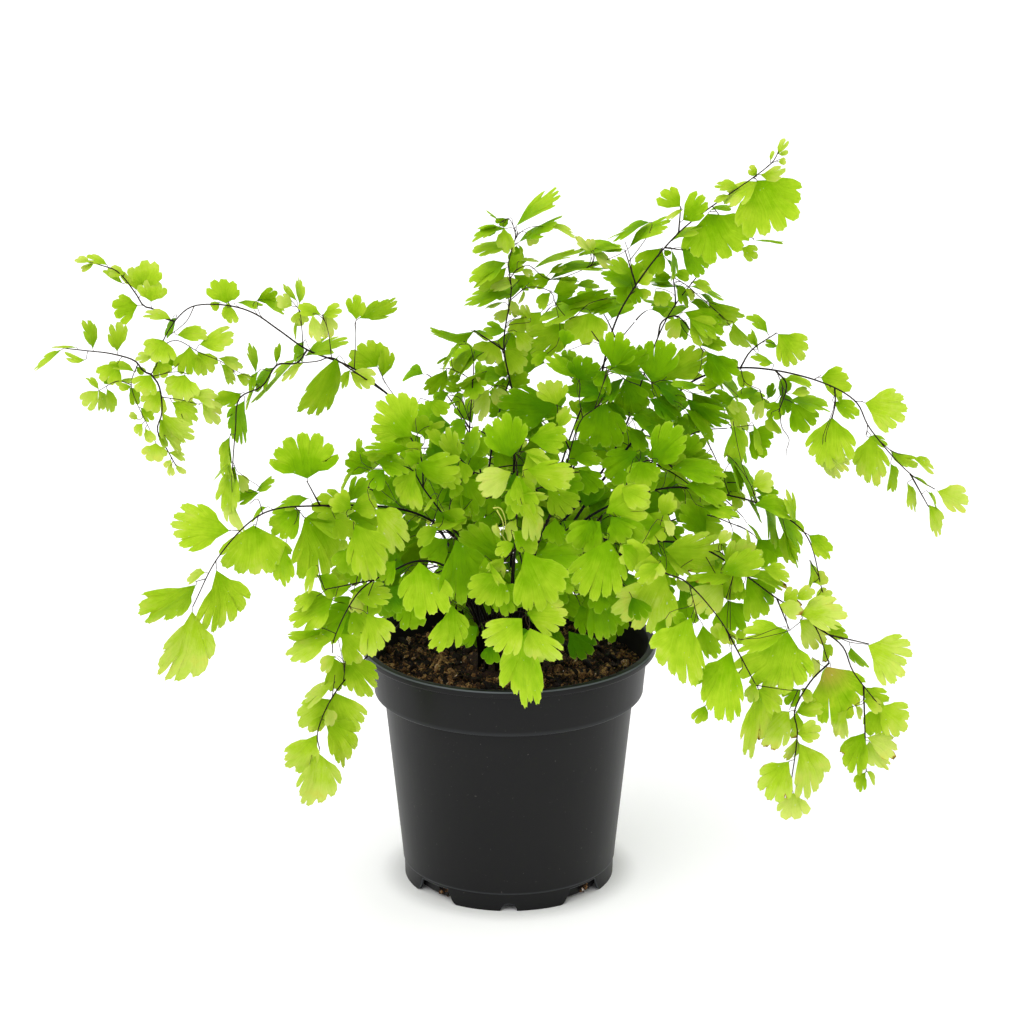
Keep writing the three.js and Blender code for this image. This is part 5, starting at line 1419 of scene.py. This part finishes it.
def soil(material):
    """Potting mix: a turned body that follows the pot's inside, with a rough crumbly top. The
    top's height is a low mound plus three sizes of ripples, folded to make crumbs."""
    sides, rings = 360, 84
    turn = around(sides)
    bottom = FLOOR_UNDERSIDE + FLOOR + GAP
    side = [(BASE_FLAT, bottom), (wall_inside(bottom) - GAP, bottom)]
    side += [(wall_inside(COLLAR_BOTTOM) - GAP, COLLAR_BOTTOM + WALL + GAP)]
    side += [(collar_inside(COLLAR_BOTTOM) - GAP, COLLAR_BOTTOM + WALL + 0.5)]
    side += [(collar_inside(SOIL_EDGE) - 0.2, SOIL_EDGE - 1.5)]
    side = np.array(side)
    radius = np.linspace(collar_inside(SOIL_EDGE) - 0.1, 0.4, rings)[:, None]
    x, y = radius * np.cos(turn), radius * np.sin(turn)
    clods = ripples(x, y, RANDOM.uniform(9, 17, 14), 1)
    lumps = np.abs(ripples(x, y, RANDOM.uniform(3.2, 5.5, 18), 2))
    grit = np.abs(ripples(x, y, RANDOM.uniform(1.3, 2.2, 20), 3))
    rough = 0.55 * clods + lumps + 0.45 * grit - 1.15
    top = mound(radius) + rough * np.clip((SOIL_RADIUS - radius) / 2.0, 0.25, 1)
    heights = np.vstack([side[:, 1:] + np.zeros(sides), top])
    points, faces = turned(np.vstack([side[:, :1], radius]), heights, sides)
    flat = np.full((len(side), sides), 0.4)
    # painted shade: the top's high places get more of the mix's height value, so they are lightened and
    # its low places darkened
    painted_relief_shade = np.vstack([flat, np.clip(0.5 + rough * 0.35, 0, 1)]).ravel()
    shape = Shape()
    shape.add(points, faces, height=np.append(painted_relief_shade, [0.4, 0.5]))
    return shape.build("potting_mix", [material])


def icosahedron():
    """The twelve corners of a regular solid of twenty triangles, at distance 1, and its faces."""
    golden = (1 + math.sqrt(5)) / 2
    corners = unit(
        [(-1, golden, 0), (1, golden, 0), (-1, -golden, 0), (1, -golden, 0), (0, -1, golden)]
        + [(0, 1, golden), (0, -1, -golden), (0, 1, -golden), (golden, 0, -1), (golden, 0, 1)]
        + [(-golden, 0, -1), (-golden, 0, 1)]
    )
    sides = np.array(
        [(0, 11, 5), (0, 5, 1), (0, 1, 7), (0, 7, 10), (0, 10, 11), (1, 5, 9), (5, 11, 4)]
        + [(11, 10, 2), (10, 7, 6), (7, 1, 8), (3, 9, 4), (3, 4, 2), (3, 2, 6), (3, 6, 8)]
        + [(3, 8, 9), (4, 9, 5), (2, 4, 11), (6, 2, 10), (8, 6, 7), (9, 8, 1)]
    )
    return corners, sides


def loose_crumbs(material):
    """Loose crumbs on the mix and in the gaps of the foot: twenty-sided lumps, squashed and
    dented at random, most of them small and brown, a few of them pale grit."""
    corners, sides = icosahedron()
    loose, count = LOOSE_CRUMBS, LOOSE_CRUMBS + DRAIN_CRUMBS
    reach = (SOIL_RADIUS - 2) * np.sqrt(RANDOM.uniform(0.02, 1, count))
    turn = RANDOM.uniform(0, 2 * math.pi, count)
    size = 0.45 + 1.9 * RANDOM.uniform(0, 1, count) ** 3.5
    height = mound(reach) + 0.3 * size
    drain = np.arange(DRAIN_CRUMBS)
    reach[loose:] = BASE_RADIUS + RANDOM.uniform(0.1, 0.7, DRAIN_CRUMBS)
    turn[loose:] = (drain % FOOT_GAPS + 0.5) * 2 * math.pi / FOOT_GAPS
    turn[loose:] += RANDOM.uniform(0.01, 0.17, DRAIN_CRUMBS)
    height[loose:] = BASE_UNDERSIDE + RANDOM.uniform(0.3, 4.0, DRAIN_CRUMBS)
    size[loose:] = 0.35 + 0.2 * size[loose:]
    middle = np.stack([reach * np.cos(turn), reach * np.sin(turn), height], axis=1)
    dents = RANDOM.uniform(0.65, 1.25, (count, len(corners), 1))
    squash = RANDOM.uniform(0.25, 1.3, (count, 1, 3)) * size[:, None, None]
    tilt = np.linalg.qr(RANDOM.normal(size=(count, 3, 3)))[0]
    lumps = middle[:, None] + np.einsum("nij,nkj->nki", tilt, corners * dents * squash)
    tone = RANDOM.uniform(0.05, 0.85, count) ** 1.2
    pale = RANDOM.uniform(0, 1, count) < 0.035
    tone = np.where(pale & (size < 0.9), 1.1, tone)
    faces = sides + len(corners) * np.arange(count)[:, None, None]
    turned_in = np.linalg.det(tilt) < 0
    faces[turned_in] = faces[turned_in][:, :, ::-1]
    shape = Shape()
    shape.add(lumps, [faces.reshape(-1, 3)], tone=np.repeat(tone, len(corners)))
    return shape.build("soil_crumbs", [material], smooth=False)


def crown(material):
    """The rooted crown: a squat lumpy mound, widest under its shoulder."""
    sides, rings = 96, 26
    turn = around(sides)
    share = column(np.linspace(0, 1, rings))
    radius = CROWN_RADIUS * np.sin(math.pi * (0.06 + 0.92 * share)) ** 0.6
    half = (CROWN_TOP - CROWN_FOOT) / 2
    height = CROWN_FOOT + half + half * np.sin(math.pi * (share - 0.5) * 0.96)
    x, y = radius * np.cos(turn), radius * np.sin(turn)
    lumps = ripples(x, y, RANDOM.uniform(5, 11, 14), 5)
    shape = Shape()
    shape.add(*turned(radius * (1 + 0.05 * lumps), height + 0.35 * lumps, sides))
    return shape.build("crown_body", [material])


# ---------------------------------------------------------------- fronds


def stalk_lines(frond):
    """The middle lines of a frond's stalks. The main one rises straight from the crown before it
    leans, and side stalks and twigs start on the nearest point of the ones before them."""
    foot, *rest = frond["stems"][0]
    lines = [spline([foot, (foot[0], foot[1], foot[2] + FIRST_RISE), *rest])]
    for route in frond["stems"][1:] + frond.get("twigs", []):
        before = np.vstack(lines)
        start = before[np.linalg.norm(before - route[0], axis=1).argmin()]
        lines.append(spline([start, *route[1:]]))
    return lines


def placed_leaves(frond, lines, seed):
    """The leaflets of a frond placed one by one. A leaflet that looks narrower than its fan is
    turned about its own length, and one that looks shorter is tipped forward. Its stalk starts
    on the nearest stalk of the frond, a little nearer the frond's foot."""
    x, y, z, length, width, heading, tone = np.array(frond["leaves"], float).T
    heading = np.radians(heading)
    key = seed * 97 + np.arange(len(x))
    base = np.stack([x, y, z], axis=1)
    away = np.stack([np.linalg.norm(line - base[:, None], axis=2).min(axis=1) for line in lines])
    owner = away.argmin(axis=0)
    foot, leave = np.zeros_like(base), np.zeros_like(base)
    for number, line in enumerate(lines):
        mine = owner == number
        near = np.linalg.norm(line - base[mine, None], axis=2).argmin(axis=1)
        near = np.maximum(near - np.round(away[number, mine] / 2).astype(int), 0)
        foot[mine], leave[mine] = line[near], unit(np.gradient(line, axis=0))[near]
    length, width = length * FORESHORTENING, width * FORESHORTENING
    true_length = np.maximum(length, width / (FAN_WIDTH * FAN_OPEN**FAN_GAIN))
    tip = np.arccos(np.clip(length / true_length, 0.5, 1)) + 0.2 * wander(key + 0.3)
    plump = width / true_length / FAN_WIDTH
    closed = FAN_CLOSED + 0.1 * wander(key + 0.2)
    spread = np.clip(plump ** (1 / FAN_GAIN), closed, FAN_OPEN)
    plump = plump / spread**FAN_GAIN
    squeeze = np.clip(plump, FAN_SLIMMEST, 1)
    shown = np.clip(plump / squeeze, 0.2, 1)
    flat = np.stack([np.cos(heading), np.zeros_like(heading), np.sin(heading)], axis=1)
    head = unit(flat * column(np.cos(tip)) + np.array(FACE) * column(np.sin(tip)))
    normal = unit(FACE - dot(head, FACE) * head)
    aside = np.cross(head, normal)
    upward = np.where(wander(key + 0.9) < 0.5, 1, -1) * np.sign(aside[:, 2])
    roll = column(np.arccos(shown) * upward + 0.3 * shown**2 * wander(key + 0.5))
    normal = np.cos(roll) * normal + np.sin(roll) * aside
    return dict(
        base=base,
        head=head,
        normal=normal,
        length=true_length,
        spread=spread,
        squeeze=squeeze,
        key=key,
        foot=foot,
        leave=leave,
        tone=tone / TONES,
    )


def grown_twigs(frond, line, seed):
    """Side stalks of a fill frond: left and right in turn, shorter towards the tip, each one
    leaning out and drooping by the square of the way along it."""
    count = frond["pinnae"]
    share = np.arange(count + 1) / count
    at = ((len(line) - 1) * (BARE_STALK + (1 - BARE_STALK) * share)).astype(int)
    along = unit(np.gradient(line, axis=0))[at]
    face = unit(frond["face"])
    across = np.cross(unit(face - dot(along, face) * along), along)
    key = seed * 97 + np.arange(count + 1) * 7.3
    spread = np.radians(62 + 12 * wander(key))
    spread[-1] = 0
    side = np.where(np.arange(count + 1) % 2 == 1, 1, -1)
    way = np.cos(column(spread)) * along + column(side * np.sin(spread)) * across
    reach = frond["reach"] * (1 - TWIG_SHORTENING * share) * (1 + 0.15 * wander(key + 1))
    reach[-1] = 0.4 * frond["leaflet"]
    run = np.linspace(0, 1, TWIG_STEPS)[None, :, None]
    twigs = line[at][:, None] + way[:, None] * column(reach)[:, None] * run
    twigs = twigs - np.array([0, 0, TWIG_DROOP]) * column(reach)[:, None] * run**2
    return twigs, reach, share, key, face


def grown_leaves(frond, twigs, reach, share, key, face):
    """Leaflets of a fill frond: along each side stalk they alternate, and one ends it."""
    found = []
    low, high = frond["tone"]
    for twig, length, part, seed in zip(twigs, reach, share, key):
        count = max(1, round(length / (LEAFLET_SPACING * frond["leaflet"])))
        number = np.arange(count)
        at = np.round((number + 1) / count * (TWIG_STEPS - 1)).astype(int)
        along = unit(twig[-1] - twig[-3])
        facing = unit(face - dot(face, along) * along)
        own = seed + 0.37 * number
        turn = np.radians(58 + 14 * wander(own)) * np.where(number % 2 == 1, 1, -1)
        turn[-1] = 0
        head = np.cos(column(turn)) * along + np.sin(column(turn)) * np.cross(facing, along)
        head = unit(head + np.array([0, 0, -0.35]))
        width = frond["leaflet"] * (1 - 0.3 * part) * (1 + 0.22 * wander(own + 0.1))
        tilt = np.stack(
            [0.5 * wander(own + 0.2), 0.3 * wander(own + 0.4), 0.5 * wander(own + 0.6)], axis=1
        )
        normal = unit(facing + tilt)
        one = dict(
            base=twig[at] + head * column(0.22 * width),
            head=head,
            normal=unit(normal - dot(normal, head) * head),
            length=width,
            spread=1 + 0.2 * wander(own + 0.8),
            squeeze=0.9 + 0.15 * wander(own + 1.8),
            key=own,
            foot=twig[at],
            leave=np.tile(along, (count, 1)),
            tone=low + (high - low) * part + 0.12 * wander(own + 9.3),
        )
        found.append(one)
    return {name: np.concatenate([one[name] for one in found]) for name in found[0]}


def leaf_stalks(leaves):
    """Fine stalks from the twig to each leaflet: a cubic curve that leaves along the twig and
    arrives along the leaflet."""
    start, end = leaves["foot"], leaves["base"] + 0.3 * leaves["head"]
    gap = np.linalg.norm(end - start, axis=1)[:, None]
    one = start + leaves["leave"] * gap * 0.35
    two = end - leaves["head"] * gap * 0.4
    t = np.linspace(0, 1, 6)[None, :, None]
    start, one, two, end = [p[:, None] for p in (start, one, two, end)]
    return (
        start * (1 - t) ** 3 + one * 3 * t * (1 - t) ** 2 + two * 3 * t**2 * (1 - t) + end * t**3
    )


def edge_places(lobes, teeth):
    """The places along a fan's outer edge, from 0 at one side to 1 at the other, that its shape
    needs. Also which of them are slits between lobes, and how far each one stands out: a lobe
    bulges in its middle and drops between its teeth."""
    inside = np.linspace(0.04, 0.96, 2 * max(teeth, 2) + 1)
    bulge = 1 - LOBE_BULGE * np.abs(2 * inside - 1) ** 3
    if teeth > 1:
        bulge = bulge - TOOTH_DEPTH * (np.arange(len(inside)) % 2 == 0)
    places = np.concatenate([(np.arange(lobes)[:, None] + inside).ravel(), np.arange(1, lobes)])
    slit = np.arange(len(places)) >= lobes * len(inside)
    bulge = np.append(np.tile(bulge, lobes), np.ones(lobes - 1))
    order = places.argsort()
    places, slit, bulge = places[order] / lobes, slit[order], bulge[order]
    lobe = np.minimum((places * lobes).astype(int), lobes - 1)
    places[0], places[-1] = 0, 1
    return places, slit, bulge, lobe


def fan_faces(columns, count, total):
    """Faces of count closed fans of total points each: a row of triangles from the apex to the
    inner ring and a row of quads from there to the rim, above and below."""
    number, start = np.arange(columns), (np.arange(count) * total)[:, None, None]
    edge = 1 + number
    top = 1 + columns + number
    under = np.concatenate([top[:1], 1 + 2 * columns + number[: columns - 2], top[-1:]])
    zero = np.zeros(columns - 1, int)
    fan_top = np.stack([zero, top[1:], top[:-1]], axis=-1)
    fan_under = np.stack([zero, under[:-1], under[1:]], axis=-1)
    quad_top = np.stack([top[:-1], top[1:], edge[1:], edge[:-1]], axis=-1)
    quad_under = np.stack([under[1:], under[:-1], edge[:-1], edge[1:]], axis=-1)
    return [
        (np.vstack([fan_top, fan_under]) + start).reshape(-1, 3),
        (np.vstack([quad_top, quad_under]) + start).reshape(-1, 4),
    ]


def add_blades(shape, leaves, lobes, teeth):
    """Leaflets with the same number of lobes and of teeth on each lobe, as thin closed fans.
    Seen flat, the outer edge is at a distance from the stalk that falls towards the sides. Each
    lobe stands out by its own amount, and a slit of its own depth parts it from the next one. The
    blade then folds along its middle, droops with the distance and ripples."""
    own = column(leaves["key"])
    places, slit, bulge, lobe = edge_places(lobes, teeth)
    columns, number = len(places), np.arange(len(places))
    off_middle = 2 * places - 1
    span = 1 - SIDE_FALL * off_middle**2 - CORNER_FALL * off_middle**10
    span = span * (1 + 0.13 * wander(own + 2.7) * off_middle)
    depth = SLIT_LEAST + SLIT_MORE * (0.5 + 0.5 * wander(own + number * 3.1)) ** 1.8
    outline = bulge * (1 + 0.008 * wander(own * 1.7 + number) + 0.06 * wander(own + lobe * 1.9))
    length = column(leaves["length"])
    reach = length * span * np.where(slit, 1 - depth, outline)
    opening = LEAF_HALF_ANGLE * column(leaves["spread"])
    angle = opening * (off_middle + 0.06 * wander(own + 6.5))
    waist = 0.93 + 0.09 * wander(own + 8.5)
    wave = 0.05 * wander(own + lobe * 4.7)
    rim = bend(leaves, reach, angle, length, wave)
    inner = bend(leaves, INNER_RING * length * span, angle * waist, length, 0.3 * wave)
    lift = leaves["normal"][:, None] * LEAF_HALF_THICKNESS
    lift = lift * np.where((number == 0) | (number == columns - 1), 0, 1)[None, :, None]
    apex = leaves["base"][:, None]
    points = np.concatenate([apex, rim, inner + lift, (inner - lift)[:, 1:-1]], axis=1)
    count, total = points.shape[:2]
    at_rim = np.zeros(total)
    at_rim[1 : 1 + columns] = 1
    sharp = np.zeros(total, bool)
    sharp[: 1 + columns] = True
    sharp[[1 + columns, 2 * columns]] = True
    across = np.concatenate([[0.5], places, places, places[1:-1]])
    along = np.concatenate(
        [np.zeros((count, 1)), span, INNER_RING * span, INNER_RING * span[:, 1:-1]], axis=1
    )
    shift = column(np.floor(leaves["key"] * 7 % 31))
    shape.add(
        points,
        fan_faces(columns, count, total),
        sharp=np.tile(sharp, count),
        tone=np.repeat(leaves["tone"] + 0.06 * wander(leaves["key"] + 9.3), total),
        rim=np.tile(at_rim, count),
        scorch=np.repeat(leaves["scorch"], total),
        across=(across + shift).ravel(),
        along=along.ravel(),
    )


def bend(leaves, reach, angle, length, wave):
    """Places points of a flat fan in space: reach along angle from the leaflet's stalk, then off
    the flat by the fold, the droop, the ripple and each lobe's own wave."""
    key = column(leaves["key"])
    part = reach / length
    fold = 0.16 * wander(key + 1.3) + 0.08
    droop = 0.14 + 0.14 * wander(key + 2.3) + 0.3 * np.abs(wander(key + 7.3)) ** 4
    ripple = 0.03 + 0.02 * wander(key + 3.3)
    waves = 4.5 + 1.5 * wander(key + 4.3)
    height = fold * part * (np.abs(np.sin(angle)) - 0.35) + droop * part * (1 - part)
    height = height + wave * part**2 + ripple * part**2 * np.sin(waves * angle + 6 * key)
    across = np.cross(leaves["head"], leaves["normal"])
    sideways = reach * np.sin(angle) * column(leaves["squeeze"])
    flat = sideways[..., None] * across[:, None]
    flat = flat + (reach * np.cos(angle))[..., None] * leaves["head"][:, None]
    return leaves["base"][:, None] + flat + (height * length)[..., None] * leaves["normal"][:, None]


def add_stalk(shape, line, thick, fine):
    """One stalk along its line, from its thick foot to its fine tip."""
    line = line[:: 2 if len(line) > 20 else 1]
    share = np.linspace(0, 1, len(line))
    radius = thick + (fine - thick) * share**0.75
    shade = np.clip((0.5 - np.repeat(radius, STALK_SIDES)) * 1.6, 0, 1)
    shape.add(*tubes(line[None], radius, STALK_SIDES), finish=1, fine=shade)


def lobe_count(leaves):
    """Small leaflets have two lobes, the largest ones seven."""
    wide = FAN_WIDTH * leaves["length"] * leaves["spread"] ** FAN_GAIN * leaves["squeeze"]
    wide = wide * (1 + 0.15 * wander(leaves["key"] + 8.3))
    return np.clip(np.round(0.8 + wide / 3.6), FEWEST_LOBES, MOST_LOBES).astype(int)


def grown_frond(table, seed, materials):
    """One frond: its stalks, the fine stalks of its leaflets, and the leaflets."""
    shape = Shape()
    lines = stalk_lines(table)
    stems = len(table["stems"])
    add_stalk(shape, lines[0], STALK_THICK, STALK_FINE)
    for line in lines[1:stems]:
        add_stalk(shape, line, SIDE_STALK_THICK, STALK_FINE)
    for line in lines[stems:]:
        add_stalk(shape, line, STALK_FINE, LEAF_STALK)
    for route in table.get("tendrils", []):
        line = spline(route)
        radius = np.linspace(TENDRIL_THICK, TENDRIL_FINE, len(line))
        shape.add(*tubes(line[None], radius, 6), finish=1, fine=2.0)
    if "leaves" in table:
        leaves = placed_leaves(table, lines, seed)
    else:
        twigs, *rest = grown_twigs(table, lines[0], seed)
        radius = np.linspace(TWIG_THICK, TWIG_FINE, TWIG_STEPS)
        shape.add(*tubes(twigs, radius, 5), finish=1, fine=0.5)
        leaves = grown_leaves(table, twigs, *rest)
    shape.add(*tubes(leaf_stalks(leaves), LEAF_STALK, 4), finish=1, fine=0.85)
    burn = table.get("scorch", 0.0)
    leaves["scorch"] = burn * (0.5 + 0.5 * wander(leaves["key"] + 10.3))
    lobes = lobe_count(leaves)
    teeth = np.digitize(leaves["length"], TOOTHED_FROM) + 1
    for number in range(FEWEST_LOBES, MOST_LOBES + 1):
        for toothed in range(1, MOST_TEETH + 1):
            pick = (lobes == number) & (teeth == toothed)
            if pick.any():
                chosen = {name: values[pick] for name, values in leaves.items()}
                add_blades(shape, chosen, number, toothed)
    return shape.build("grown_" + table["name"], materials)


# ---------------------------------------------------------------- studio


def camera():
    """The camera in front of the plant, looking down at it by a few degrees."""
    data = bpy.data.cameras.new("camera")
    data.lens, data.sensor_width = CAMERA_LENS, CAMERA_SENSOR
    data.clip_start, data.clip_end = CAMERA_REACH
    eye = bpy.data.objects.new("camera", data)
    back = np.array([0, -math.cos(CAMERA_PITCH), math.sin(CAMERA_PITCH)])
    eye.location = (CAMERA_AIM + back * CAMERA_DISTANCE) * MM
    eye.rotation_euler = (math.pi / 2 - CAMERA_PITCH, 0, 0)
    bpy.context.scene.collection.objects.link(eye)
    bpy.context.scene.camera = eye


def sun(name, towards, power):
    """A far soft light that shines from a direction."""
    data = bpy.data.lights.new(name, "SUN")
    data.energy, data.angle = power, math.radians(SUN_SOFTNESS)
    light = bpy.data.objects.new(name, data)
    light.rotation_euler = Vector(towards).to_track_quat("Z", "Y").to_euler()
    bpy.context.scene.collection.objects.link(light)


def studio():
    """A white floor under an even pale surround, with a broad soft key light from the upper left
    and a weaker one from behind."""
    world = bpy.data.worlds.new("surround")
    world.use_nodes = True
    shine = world.node_tree.nodes["Background"].inputs
    shine["Color"].default_value = (1.0, 1.0, 1.0, 1.0)
    shine["Strength"].default_value = SURROUND
    bpy.context.scene.world = world
    bpy.context.scene.view_settings.view_transform = "Standard"
    sun("key_light", (-0.55, -0.75, 1.3), power=1.2)
    sun("back_light", (0.5, 0.8, 1.2), power=0.6)
    shape = Shape()
    corners = np.array([(-1, -1, 0), (1, -1, 0), (1, 1, 0), (-1, 1, 0)]) * FLOOR_HALF_SIDE
    shape.add(corners, [[(0, 1, 2, 3)]])
    shape.build("floor", [studio_floor()])


def stand_for(piece, node):
    """A piece takes a node's place in the one body: it joins the body, and the node is hidden."""
    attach(piece, "root")
    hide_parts(node)


camera()
studio()
stand_for(pot(pot_plastic()), "pot")
stand_for(soil(potting_mix()), "soil")
stand_for(loose_crumbs(bark_crumb()), "soil")
stand_for(crown(crown_fibre()), "crown")
foliage = [leaflet_green(), stalk_black()]
for number, table in enumerate(PLACED_FRONDS + FILL_FRONDS):
    stand_for(grown_frond(table, number, foliage), "frond_" + table["name"])
